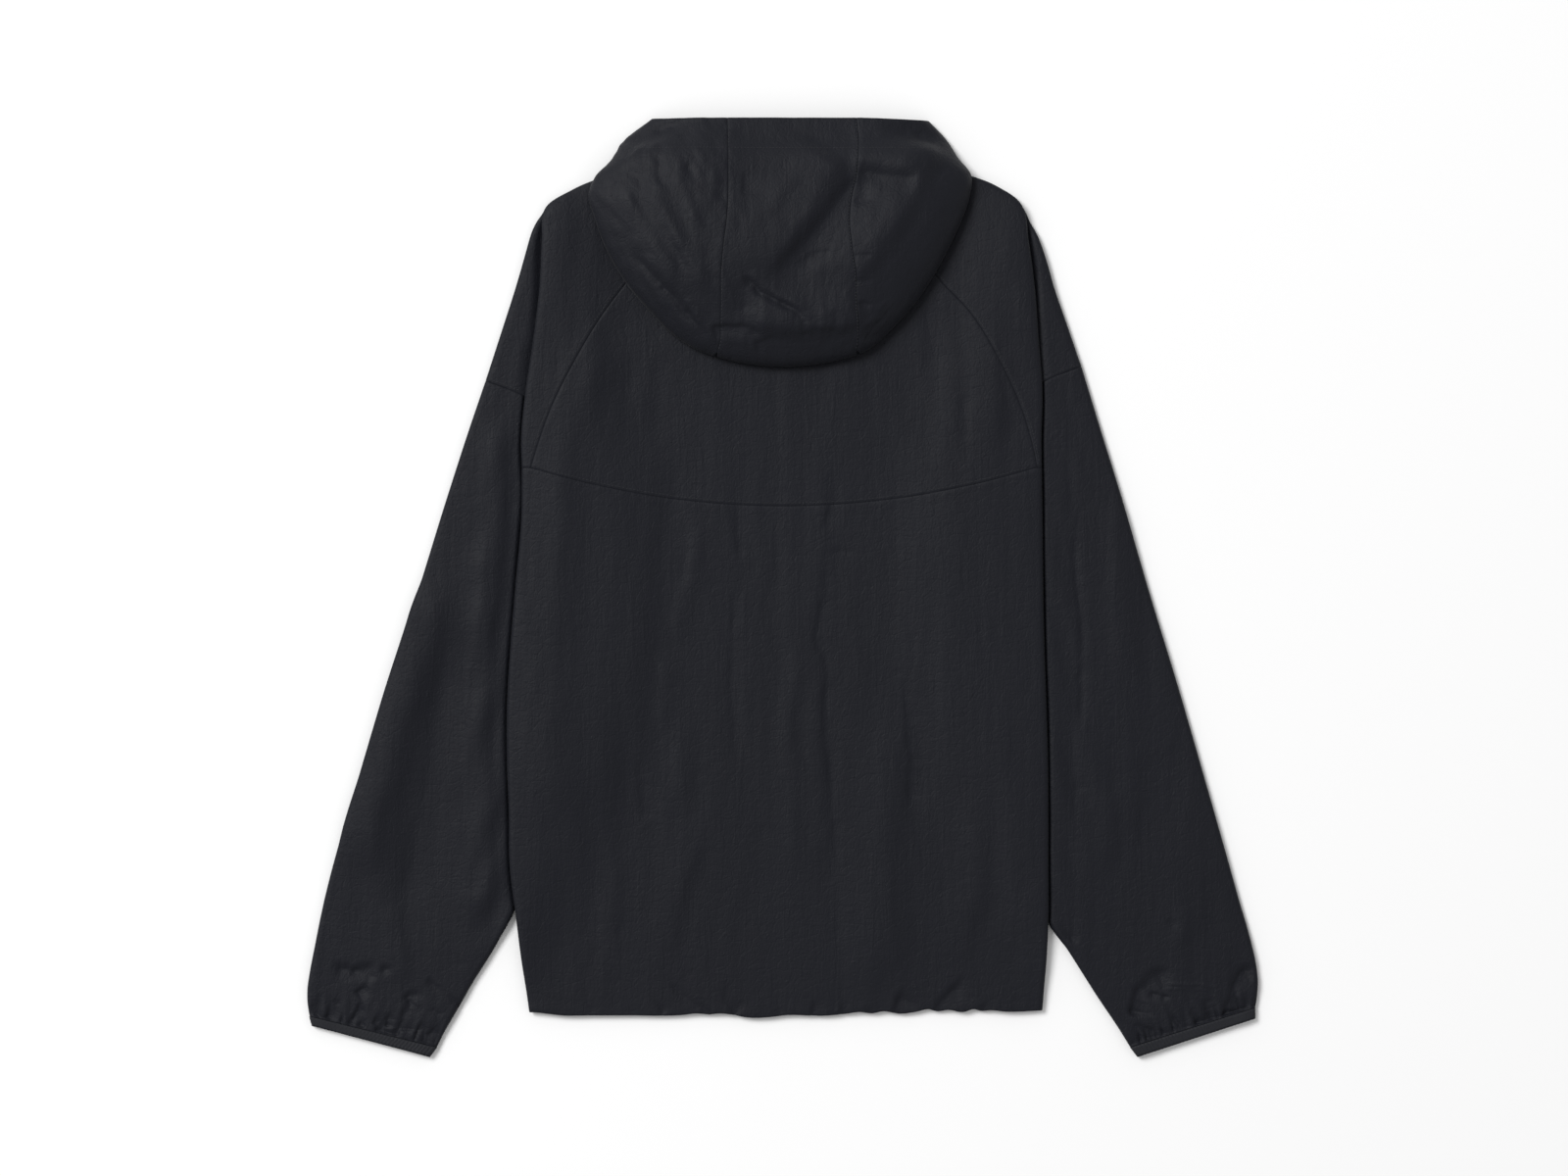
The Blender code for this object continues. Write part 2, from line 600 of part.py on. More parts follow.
def shoulder_row(side, level, start, end, edge, edge_y):
    """One row of a raglan shoulder: from the back seam over the upper sheet to the fold, in under the body to the
    tuck, out again as the sleeve's upper sheet to its outer edge, and back along the ground to the front seam.
    From the apex up there is no tuck, and the middle of the row goes straight down."""
    name = name_of(side)
    folded = edge_y < APEX_Y
    cap_y = (SLEEVE_LEFT if side < 0 else SLEEVE_RIGHT).rows[0, 2]
    tip_y = APEX_Y + (cap_y - APEX_Y) * (APEX_Y - edge_y) / (APEX_Y - UNDERARM_Y) if folded else edge_y
    tip = outer_edge_x(side, tip_y) if folded else edge
    tuck = TUCK.at(name, edge_y) if folded else edge
    edge_z = back_base(side * edge, edge_y)
    steps = EDGE_STEPS * min(1, 0.45 * (edge - start) / EDGE_STEPS[-1])
    x = np.concatenate([np.linspace(start, edge - steps[-1], 4)[:-1], (edge - steps)[::-1]])
    y = level + (edge_y - level) * (x - start) / (edge - start)
    top = stack(side * x, y, back_z(side * x, y))
    if folded:
        into = np.minimum(UNDER_STEPS[:3], (edge - tuck) * np.array([0.15, 0.4, 0.7]))
        inward = stack(side * (edge - into), edge_y, under_fold(BODY_OVER_SLEEVE, edge_z, into))
        turn = (BODY_OVER_SLEEVE - PRESSED_SLEEVE) / 2
        angles = np.radians([-90, -30, 30, 90])
        tuck_z = (BODY_OVER_SLEEVE + PRESSED_SLEEVE) / 2 - turn * np.sin(angles)
        bend = stack(side * (tuck - turn * np.cos(angles)), edge_y, tuck_z)
        steps = EDGE_STEPS[:4] * min(1, 0.2 * (tip - tuck) / EDGE_STEPS[3])
        x = np.concatenate([tuck + (tip - tuck) * CAP_SHARES, (tip - steps)[::-1]])
        y = section_y(tip, tip_y, tuck, edge_y, 1, x)
        outward = stack(side * x, y, sleeve_z(side, side * x, y, tip - x))
        middle = np.concatenate([inward, bend, outward])
        tip_z = outward[-1, 2]
    else:
        tip_z = FLOOR + 0.45 * (edge_z - FLOOR)
        middle = stack(side * edge, edge_y, edge_z + (tip_z - edge_z) * np.linspace(0, 1, 18)[1:])
    steps = UNDER_STEPS[:3] * min(1, 0.5 * (tip - end) / UNDER_STEPS[2])
    x = np.linspace(tip - steps[-1], end, 9)[1:]
    if folded:
        cap_x = np.concatenate([(tuck + (tip - tuck) * CAP_SHARES)[::-1], [tuck, end]])
        x += (cap_x - x) * ease((APEX_Y - edge_y) / (APEX_Y - UNDERARM_Y))
    x = np.concatenate([tip - steps, x])
    inward_y = level + (edge_y - level) * np.clip((x - end) / (tuck - end), 0, 1)
    y = np.where(x < tuck, inward_y, section_y(tip, tip_y, tuck, edge_y, 1, x) if folded else edge_y)
    return np.concatenate([top, middle, stack(side * x, y, under_fold(FLOOR, tip_z, tip - x))])


def shoulder(side, finish):
    """Raglan shoulder, from the underarm to the neck."""
    name = name_of(side)
    rows = []
    for level, edge_y in OVER_SLEEVE_ROWS.rows:
        start, end = RAGLAN_BACK.at(name, level) + SEAM / 2, RAGLAN_FRONT.at(name, level)
        rows.append(shoulder_row(side, level, start, end, BODY_EDGE.at(name, edge_y), edge_y))
    for level, edge_x in SHOULDER_ROWS.rows:
        start, end = RAGLAN_BACK.at(name, level) + SEAM / 2, RAGLAN_FRONT.at(name, level)
        if level > NECK_CORNER_Y:
            start = neck_x(level, BACK_NECK_Y, BACK_NECK_POWER)
            end = neck_x(level, FRONT_NECK_Y, FRONT_NECK_POWER)
        edge_y = max(APEX_Y, SHOULDER_LINE.at(name, edge_x))
        rows.append(shoulder_row(side, level, start, end, edge_x, edge_y))
    return wall(f"shoulder_{name}", mirrored(rows, side)[::-1], finish)


GATHERS = 12            # waves of cloth along the upper side of each cuff
GATHER_HEIGHT = 1.4
GATHER_LENGTH = 45.0    # how far they run up the sleeve


def sleeve_row(side, table, row):
    """One section of the sleeve's tube: the upper sheet from the inner fold out, then the lower one back."""
    outer_x, outer_y, inner_x, inner_y, bend = (float(table.at(name, row)) for name in table.names[1:])
    if row == 0:
        # Moved off the cap seam, square to it.
        outer_x, inner_x = outer_x + 0.5 * SEAM, inner_x + 1.5 * SEAM
        outer_y, inner_y = outer_y - SEAM, inner_y - 3 * SEAM
    if row == 11:
        outer_y, inner_y = outer_y + SEAM, inner_y + SEAM
    width = outer_x - inner_x
    inner = np.linspace(5.5, width - 5.5, 2 * GATHERS + 1)
    top_x = inner_x + np.concatenate([[0, 0.6, 2.2], inner, [width - 2.2, width - 0.6, width]])
    low_x = outer_x - np.concatenate([UNDER_STEPS[:3], width * (1 - CAP_SHARES[::-1]), width - UNDER_STEPS[2::-1]])
    caps = np.concatenate([[inner_x], inner_x + width * CAP_SHARES, [outer_x]])
    cap_y = section_y(outer_x, outer_y, inner_x, inner_y, bend, caps)
    top_y, low_y = np.interp(top_x, caps, cap_y), np.interp(low_x, caps, cap_y)
    from_fold = np.minimum(outer_x - top_x, top_x - inner_x)
    z = sleeve_z(side, side * top_x, top_y, from_fold)
    near_cuff = ease(1 - (outer_y - table.rows[-1, 2]) / GATHER_LENGTH)
    wave = np.where(np.arange(len(inner)) % 2, -1.0, 1.0) * GATHER_HEIGHT - 0.4
    z[3:-3] += wave * near_cuff * ease(from_fold[3:-3] / 8)
    edge_z = np.where(low_x > inner_x + width / 2, z[-1], z[0])
    low_z = under_fold(FLOOR, edge_z, np.minimum(outer_x - low_x, low_x - inner_x))
    return np.concatenate([stack(side * top_x, top_y, z), stack(side * low_x, low_y, low_z)])


def sleeve(side, finish):
    """Tube from the cap seam to the cuff, gathered along the cuff."""
    table = SLEEVE_LEFT if side < 0 else SLEEVE_RIGHT
    rows = [sleeve_row(side, table, row) for row in (0, 1, 2, 3, 4, 5, 6, 7, 8, 9.4, 11)]
    return wall(f"sleeve_{name_of(side)}", mirrored(rows, side)[::-1], finish, ring=True)


def cuff(side, finish):
    """Elastic binding round the end of the sleeve."""
    table = CUFF_LEFT if side < 0 else CUFF_RIGHT
    low, high = CUFF_WALL / 2, 5.4
    radius, middle = (high - low) / 2, (high + low) / 2
    arc = np.radians([-54, -18, 18, 54])
    rows = []
    for row in (0, 0.4, 0.75, 1):
        outer_x, outer_y, inner_x, inner_y = (float(table.at(name, row)) for name in table.names[1:5])
        width = outer_x - inner_x
        flat = np.linspace(radius + 1.5, width - radius - 1.5, 6)
        turn_in, turn_out = radius - radius * np.cos(arc), width - radius + radius * np.cos(arc)
        across = np.concatenate([turn_in, flat, turn_out, flat[::-1]])
        rise = radius * np.sin(arc)
        z = np.concatenate([middle + rise, np.full(6, high), middle - rise, np.full(6, low)])
        y = inner_y + (outer_y - inner_y) * across / width
        rows.append(stack(side * (inner_x + across), y, z))
    return wall(f"cuff_{name_of(side)}", mirrored(rows, side)[::-1], finish, ring=True, thickness=CUFF_WALL)


# ---------------------------------------------------------------- hood
def hood_seam_row(left, right, sag, u):
    """Points across the centre panel, from its left seam to its right one."""
    x = -left[0] + HOOD_SEAM / 2 + (left[0] + right[0] - HOOD_SEAM) * u
    return x, left[1] + (right[1] - left[1]) * u - sag * (1 - (2 * u - 1) ** 2)


def hood_centre(finish):
    """Centre panel: from the rim over the crown to the fold at the bottom and back underneath to the neck."""
    u = np.linspace(0, 1, 9)
    left, right = HOOD_LEFT.rows, HOOD_RIGHT.rows
    bottom_x, bottom_y = hood_bottom(u)
    fall = RIM_Y - left[-1, 4]
    rows = []
    for a, b in zip(left, right):
        x, y = hood_seam_row(a[1:3], b[1:3], HOOD_SAG * (RIM_Y - a[2]) / fall, u)
        rows.append(stack(x, y, hood_z(x, y)))
    for rise in (1.6, 0.5, 0):
        rows.append(stack(bottom_x, bottom_y + rise, hood_z(bottom_x, bottom_y + rise)))
    for rise in UNDER_STEPS[:3]:
        y = bottom_y + rise
        z = under_fold(hood_under_z(bottom_x, y), hood_edge_z(bottom_x, bottom_y), rise)
        rows.append(stack(bottom_x, y, z))
    for a, b in zip(left[-2:4:-1], right[-2:4:-1]):
        x, y = hood_seam_row(a[5:7], b[5:7], HOOD_SAG * (left[5, 6] - a[6]) / fall, u)
        rows.append(stack(x, y, hood_under_z(x, y)))
    return wall("hood_centre", rows[::-1], finish)


def hood_side(side, finish):
    """Side panel: from its seam with the centre panel over the crown to the outline and back underneath."""
    table = HOOD_LEFT if side < 0 else HOOD_RIGHT
    rows = []
    for _, seam_x, seam_y, outer_x, outer_y, under_x, under_y in table.rows:
        seam_x, under_x = seam_x + HOOD_SEAM / 2, under_x + HOOD_SEAM / 2
        length = math.hypot(outer_x - seam_x, outer_y - seam_y)
        steps = EDGE_STEPS * min(1, 0.6 * length / EDGE_STEPS[-1]) / length
        share = np.concatenate([np.linspace(0, 1 - steps[-1], 6)[:-1], (1 - steps)[::-1]])
        x, y = side * (seam_x + (outer_x - seam_x) * share), seam_y + (outer_y - seam_y) * share
        top = stack(x, y, hood_z(x, y))
        edge_z = hood_edge_z(side * outer_x, outer_y)
        length = math.hypot(outer_x - under_x, outer_y - under_y)
        steps = UNDER_STEPS * min(1, 0.75 * length / UNDER_STEPS[-1]) / length
        share = np.concatenate([steps, np.linspace(steps[-1], 1, 4)[1:]])
        x, y = side * (outer_x + (under_x - outer_x) * share), outer_y + (under_y - outer_y) * share
        rows.append(np.concatenate([top, stack(x, y, under_fold(hood_under_z(x, y), edge_z, share * length))]))
    return wall(f"hood_{name_of(side)}", mirrored(rows, side)[::-1], finish)


def chin(side, finish):
    """Front of the hood below the face, on the ground between the front neck seam and the rim."""
    table = HOOD_LEFT if side < 0 else HOOD_RIGHT
    start = ZIP_WIDTH / 2 + SEAM
    seam_x = start + (RAGLAN_FRONT.at(name_of(side), NECK_CORNER_Y) - SEAM - start) * FRONT_SHARES
    low_x = np.concatenate([seam_x, [84, 92]])
    low_y = front_neck_y(low_x) + 2 * SEAM
    rim_x, rim_y = table.rows[0, 5] - 2 * SEAM, table.rows[0, 6]
    high_x = start + (rim_x - start) * (low_x - start) / (low_x[-1] - start)
    high_y = RIM_Y + (rim_y - RIM_Y) * high_x / rim_x
    rows = []
    for share in np.linspace(0, 1, 8):
        x, y = low_x + (high_x - low_x) * share**2, low_y + (high_y - low_y) * share
        rows.append(stack(side * x, y, FLOOR + slider_lift(x, y)))
    return wall(f"chin_{name_of(side)}", mirrored(rows, side), finish)


# ---------------------------------------------------------------- zip
SLIDER_Y = 382.0
SLIDER_LENGTH, SLIDER_WIDTH, SLIDER_PLATE = 11.0, 8.4, 1.6
BRIDGE_WIDTH, BRIDGE_LENGTH, BRIDGE_POST, BRIDGE_BAR = 1.6, 7.0, 1.2, 0.8
PULL_LENGTH, PULL_WIDTH, PULL_THICK, PULL_EYE = 27.0, 6.4, 1.0, 6.0
PULL_DROOP = 2.0         # degrees that the free tab hangs below level, to just above the ground
CLEAR = 0.3
BRIDGE_GAP = PULL_THICK + 2 * CLEAR
PLATE_Z = 0.1 + BRIDGE_BAR + BRIDGE_GAP           # underside of the slider's plate
PIVOT_Z = PLATE_Z - BRIDGE_GAP / 2
LIFT_HEIGHT = PLATE_Z + SLIDER_PLATE + SEAM       # how far it holds the cloth off the ground


def slider_lift(x, y):
    """How far the cloth near the slider stands off the ground, over the slider and its pull tab."""
    low, high = SLIDER_Y - PULL_LENGTH - 3, SLIDER_Y + SLIDER_LENGTH / 2
    away_y = np.maximum(low - np.asarray(y), 0) / 22 + np.maximum(np.asarray(y) - high - 1, 0) / 22
    away_x = np.maximum(np.abs(np.asarray(x)) - 2 * SLIDER_WIDTH, 0) / 20
    return LIFT_HEIGHT * ease(1 - np.hypot(away_x, away_y))


def zip_strip(finish):
    """The closed zip: one strip between the fronts, from the hem to the rim."""
    x = np.linspace(-ZIP_WIDTH / 2, ZIP_WIDTH / 2, 3)
    levels = np.concatenate([np.linspace(HEM_Y, FRONT_NECK_Y, 6), np.linspace(322, RIM_Y, 9)])
    rows = [stack(x, y, FLOOR + slider_lift(x, y)) for y in levels]
    return wall("zip_strip", rows, finish)


def plate_with_hole(name, outline, hole, low, high, finish, place):
    """Flat plate between two heights, with a hole. Outline and hole have as many points, in the same order."""
    count = len(outline)
    rings = [(outline, low), (outline, high), (hole, high), (hole, low)]
    points = [(x, y, z) for ring, z in rings for x, y in ring]
    faces = []
    for k in range(4):
        for j in range(count):
            a, b = k * count + j, k * count + (j + 1) % count
            c, d = (k + 1) % 4 * count + (j + 1) % count, (k + 1) % 4 * count + j
            faces.append((a, b, c, d))
    return add_object(name, points, faces, finish, place)


def rounded(half_x, low_y, high_y, corner):
    """Rectangle with cut corners, counter-clockwise from its lower right."""
    c = corner
    return [
        (half_x - c, low_y), (half_x, low_y + c), (half_x, high_y - c), (half_x - c, high_y),
        (-half_x + c, high_y), (-half_x, high_y - c), (-half_x, low_y + c), (-half_x + c, low_y),
    ]


def zip_slider(finish):
    """Plate under the closed zip, with a bridge below it that holds the pull tab. The bridge's side view is
    a frame, pushed out to its width, and one boolean joins it to the plate."""
    half = BRIDGE_LENGTH / 2
    bottom = PLATE_Z - BRIDGE_GAP - BRIDGE_BAR
    outline = [(-half, PLATE_Z + 0.5), (-half, bottom), (half, bottom), (half, PLATE_Z + 0.5)]
    inner, low = half - BRIDGE_POST, bottom + BRIDGE_BAR
    hole = [(-inner, PLATE_Z), (-inner, low), (inner, low), (inner, PLATE_Z)]
    w = BRIDGE_WIDTH / 2
    rings = [(outline, -w), (outline, w), (hole, w), (hole, -w)]
    points = [(x, y, z) for ring, x in rings for y, z in ring]
    faces = [
        (k * 4 + j, k * 4 + (j + 1) % 4, (k + 1) % 4 * 4 + (j + 1) % 4, (k + 1) % 4 * 4 + j)
        for k in range(4)
        for j in range(4)
    ]
    place = (0, SLIDER_Y, 0)
    slider = add_object("zip_slider", points, faces, finish, place)
    shape = rounded(SLIDER_WIDTH / 2, -SLIDER_LENGTH / 2, SLIDER_LENGTH / 2, 1.8)
    plate_points = [(x, y, PLATE_Z) for x, y in shape] + [(x, y, PLATE_Z + SLIDER_PLATE) for x, y in shape]
    count = len(shape)
    plate_faces = [(j, (j + 1) % count, count + (j + 1) % count, count + j) for j in range(count)]
    plate_faces += [tuple(range(count))[::-1], tuple(range(count, 2 * count))]
    plate = add_object("slider_plate_guide", plate_points, plate_faces, finish, place)
    plate.hide_render, plate.display_type = True, "WIRE"
    joined = slider.modifiers.new("plate", "BOOLEAN")
    joined.operation, joined.object = "UNION", plate
    return slider


def zip_pull(finish):
    """Pull tab: a frame whose end bar passes through the slider's bridge, and a wider tab beyond. Its origin
    is on the bar's axis, which it turns about."""
    bar = PULL_THICK / 2
    outline = rounded(PULL_WIDTH / 2, -PULL_LENGTH, bar, 1.2)
    hole = rounded(BRIDGE_WIDTH, -PULL_EYE, -bar, 0.5)
    pull = plate_with_hole("zip_pull", outline, hole, -bar, bar, finish, (0, SLIDER_Y, PIVOT_Z))
    pull.rotation_euler.x = math.radians(PULL_DROOP)
    return pull


def main():
    for obj in list(bpy.data.objects):
        bpy.data.objects.remove(obj)
    shell = material("shell_cloth", (0.021, 0.022, 0.027), 0.62)
    elastic = material("elastic_binding", (0.030, 0.031, 0.036), 0.7)
    coil = material("zip_coil", (0.015, 0.015, 0.017), 0.45)
    metal = material("zip_metal", (0.05, 0.05, 0.053), 0.35, 0.9)
    back_panel(shell)
    back_yoke(shell)
    hood_centre(shell)
    for side in (-1, 1):
        front_panel(side, shell)
        shoulder(side, shell)
        sleeve(side, shell)
        cuff(side, elastic)
        hood_side(side, shell)
        chin(side, shell)
    zip_strip(coil)
    zip_slider(metal)
    zip_pull(metal)


main()
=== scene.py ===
"""Looks of the hooded windbreaker jacket: fine cloth shells on the forms of the CAD solids.

The shells carry the creases. The stitches, the zip's tapes and teeth, the materials, the camera and the light
are made here too. Lengths in tables and functions are millimetres in the tables' own frame, and meshes are in
metres. +Y points to the hood, -X is the wearer's left and +Z is up out of the jacket's back. A side is -1 on
the left and 1 on the right. The outlines and the heights of the layers follow those of the CAD source, which
this script can't read.
"""

import math
from functools import partial

import bpy
import numpy as np
from mathutils.bvhtree import BVHTree
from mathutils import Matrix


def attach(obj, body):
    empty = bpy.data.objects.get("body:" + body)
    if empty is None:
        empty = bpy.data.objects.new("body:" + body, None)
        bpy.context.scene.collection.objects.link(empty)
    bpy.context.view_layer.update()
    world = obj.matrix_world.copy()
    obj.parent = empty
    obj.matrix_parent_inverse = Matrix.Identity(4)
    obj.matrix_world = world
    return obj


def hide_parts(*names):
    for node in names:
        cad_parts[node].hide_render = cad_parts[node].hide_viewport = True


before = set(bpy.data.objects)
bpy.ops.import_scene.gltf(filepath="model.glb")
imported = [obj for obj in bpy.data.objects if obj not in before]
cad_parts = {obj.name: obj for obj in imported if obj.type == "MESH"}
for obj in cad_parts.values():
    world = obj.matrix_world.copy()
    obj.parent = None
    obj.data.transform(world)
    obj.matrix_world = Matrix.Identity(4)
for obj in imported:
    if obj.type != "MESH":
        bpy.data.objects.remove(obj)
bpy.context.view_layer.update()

MM = 0.001
ORIGIN = np.array([-0.69, -0.71, 0.0])   # middle of the jacket's plan, in the tables' frame

# ---- sizes of the solids, in millimetres
SHELL = 1.1              # thickness of the cloth shells
FLOOR = 0.75             # middle surface of a sheet that lies on the ground
SEAM, HOOD_SEAM = 0.16, 0.2
PRESSED_SLEEVE, BODY_OVER_SLEEVE = 3.4, 6.0
FOLD_RISE, FOLD_REACH = 3.0, 3.5
LOFT, LOFT_REACH, ROUNDING = 2.3, 14.0, 2.5
SIDE_WRAP = 50.0
RAISED_RAMP, RAISED_TOP, RAISED_FADE = 62.0, 350.0, 55.0
CLIMB_MARGIN, CLIMB_RAMP, CLIMB_ABOVE = 13.0, 26.0, 1.6
PRESSED_MARGIN, PRESSED_RAMP = 5.0, 20.0
HEM_Y, UNDERARM_Y, APEX_Y = -357.0, 101.0, 318.0
NECK_X, NECK_Y, NECK_CORNER_Y = 90.0, 363.0, 341.0
BACK_NECK_Y, FRONT_NECK_Y = 334.0, 301.0
BACK_NECK_POWER, FRONT_NECK_POWER = 8.0, 2.6
RIM_Y = 393.5
HOOD_LOFT, HOOD_LOFT_RIM, HOOD_ABOVE_BACK = 25.0, 15.0, 3.0
HOOD_REACH, HOOD_FILL = 60.0, 110.0
HOOD_DROP, HOOD_RAMP, HOOD_SAG, HOOD_BOTTOM = 5.0, 14.0, 8.5, 3.4
YOKE_SAG = 32.0
ZIP_WIDTH = 6.0


class Table:
    """Rows of numbers with named columns. at() reads a column at a value of the first one, smoothly."""

    def __init__(self, names, *rows):
        order = np.argsort([row[0] for row in rows])
        self.names = names.split()
        self.rows = np.array(rows, float)[order]

    def column(self, name):
        return self.rows[:, self.names.index(name)]

    def at(self, name, value):
        x, y = self.rows[:, 0], self.column(name)
        return hermite(x, y, np.clip(value, x[0], x[-1]))


def cubic(start, end, start_slope, end_slope, t):
    """Smooth curve from start to end, read at a share t of the way. The slopes are over the whole way."""
    return (
        start * (1 + 2 * t) * (1 - t) ** 2
        + start_slope * t * (1 - t) ** 2
        + end * t * t * (3 - 2 * t)
        + end_slope * t * t * (t - 1)
    )


def hermite(x, y, value):
    """Smooth curve through rows y at places x, read at value. y may be an array of points."""
    slope = np.gradient(y, x, axis=0)
    i = np.clip(np.searchsorted(x, value) - 1, 0, len(x) - 2)
    step = x[i + 1] - x[i]
    t = (value - x[i]) / step
    extra = (...,) + (None,) * (np.ndim(y) - 1)
    step, t = np.asarray(step)[extra], np.asarray(t)[extra]
    return cubic(y[i], y[i + 1], slope[i] * step, slope[i + 1] * step, t)


# ---- outlines seen from above
BODY_EDGE = Table(
    "y left right",
    (318, 199, 201), (293, 202, 205), (256, 204, 210), (206, 210, 214), (157, 217, 217), (116, 220, 216),
    (82, 218, 217), (33, 222, 217), (-16, 226, 218), (-66, 230, 219), (-116, 232, 221), (-190, 230, 222),
    (-239, 229, 222), (-277, 224, 222), (-304, 221, 221), (-330, 217, 219), (-358, 213, 217),
)
SHOULDER_LINE = Table(
    "x left right",
    (90, 363, 363), (123, 353, 356), (160, 342, 345), (178, 334, 338), (186, 330, 334), (193, 325, 330),
    (199, 318, 323.5), (201, 314, 318),
)
RAGLAN_BACK = Table(
    "y left right",
    (341, 75.5, 75.5), (297, 103, 104), (266, 125, 125), (240, 145, 150), (210, 165, 171), (188, 177, 183),
    (165, 189, 194), (136, 201, 205), (101, 212, 213),
)
RAGLAN_FRONT = Table(
    "y left right",
    (341, 76, 76), (300, 91, 91), (250, 109, 109), (200, 126, 126), (150, 138, 138), (101, 143, 142),
)
TUCK = Table("y left right", (318, 199, 201), (200, 179, 180), (101, 150, 149))
SLEEVE_LEFT = Table(
    "row outer_x outer_y inner_x inner_y bend",
    (0, 250, 174, 150, 101, 1), (1, 265, 130, 147, 62, 0.6), (2, 284, 71, 144, 24, 0.3),
    (3, 306, 0, 147, -50, 0), (4, 333, -82, 165, -134, 0), (5, 358, -165, 201, -213, 0),
    (6, 373, -214, 222, -260, 0), (7, 386, -264, 245, -305, 0), (8, 394, -303, 262, -332, 0),
    (9, 399, -330, 275, -355, 0), (10, 400, -345, 284, -370, 0), (11, 398, -360, 292, -386, 0),
)
SLEEVE_RIGHT = Table(
    "row outer_x outer_y inner_x inner_y bend",
    (0, 250, 186, 149, 101, 1), (1, 264, 140, 146, 65, 0.6), (2, 283, 79, 143, 28, 0.3),
    (3, 306, 0, 147, -50, 0), (4, 331, -82, 164, -134, 0), (5, 355, -165, 198, -214, 0),
    (6, 369, -214, 218, -272, 0), (7, 383, -264, 238, -302, 0), (8, 393, -299, 252, -324, 0),
    (9, 398, -324, 266, -346, 0), (10, 398, -340, 279, -365, 0), (11, 396, -353, 292, -386, 0),
)
CUFFS = {
    -1: Table("row outer_x outer_y inner_x inner_y", (0, 398, -360, 292, -386), (1, 396, -368, 298, -394)),
    1: Table("row outer_x outer_y inner_x inner_y", (0, 396, -353, 292, -386), (1, 396, -362, 298, -394)),
}
HOOD_LEFT = Table(
    "row seam_x seam_y outer_x outer_y under_x under_y",
    (0, 47, 393.5, 111, 393.5, 108, 393.5), (1, 46.5, 377, 133, 376, 100, 378),
    (2, 46, 360, 145, 358, 95.5, 366.5), (3, 46, 345, 158, 343.5, 86, 353), (4, 46, 328, 163, 330, 68, 340.5),
    (5, 47, 309, 158.5, 312, 47, 333), (6, 50, 285, 149, 286, 49, 310), (7, 52, 260, 133, 258, 52, 284),
    (8, 52, 238, 112, 232.5, 52, 258), (9, 52.5, 219, 90, 211, 52, 234), (10, 52.8, 207, 72, 200, 53, 214),
    (11, 55.3, 197.2, 58.2, 194.9, 55.3, 197.8),
)
HOOD_RIGHT = Table(
    "row seam_x seam_y outer_x outer_y under_x under_y",
    (0, 61, 393.5, 122, 392, 119, 392.2), (1, 62.5, 377, 136, 377, 104, 378),
    (2, 62, 360, 146, 361, 95.5, 366.5), (3, 61, 345, 157, 345, 86, 353), (4, 57, 328, 155.5, 328, 70, 341),
    (5, 55, 309, 149, 309, 59, 334.5), (6, 57, 285, 138, 285, 58, 310), (7, 60.5, 260, 123, 258, 60, 284),
    (8, 61, 238, 106, 234, 61, 258), (9, 62.5, 219, 88, 215, 62, 234), (10, 62.5, 206, 75, 203, 62.5, 214),
    (11, 61.3, 199, 63.8, 196.6, 61.3, 199.6),
)
SLEEVES = {-1: SLEEVE_LEFT, 1: SLEEVE_RIGHT}
HOODS = {-1: HOOD_LEFT, 1: HOOD_RIGHT}
# The small steps of the hem: how far it is lifted towards the hood.
HEM_WAVE = Table(
    "x lift",
    (-215, 0), (-131, 0), (-85, 0.3), (-72, 1.6), (-62, 0.6), (-57, 1.4), (-39, -0.2), (-33, -1.4),
    (-8, -1.1), (0, 0), (34, -0.5), (52, 0.3), (64, 1.4), (74, -0.3), (84, 1.0), (98, -1.6), (111, -0.2),
    (123, 2.0), (128, 0.4), (139, 1.4), (151, -0.2), (161, 2.1), (165, 0.8), (175, 1.2), (186, 0.2),
    (216, 1.0),
)

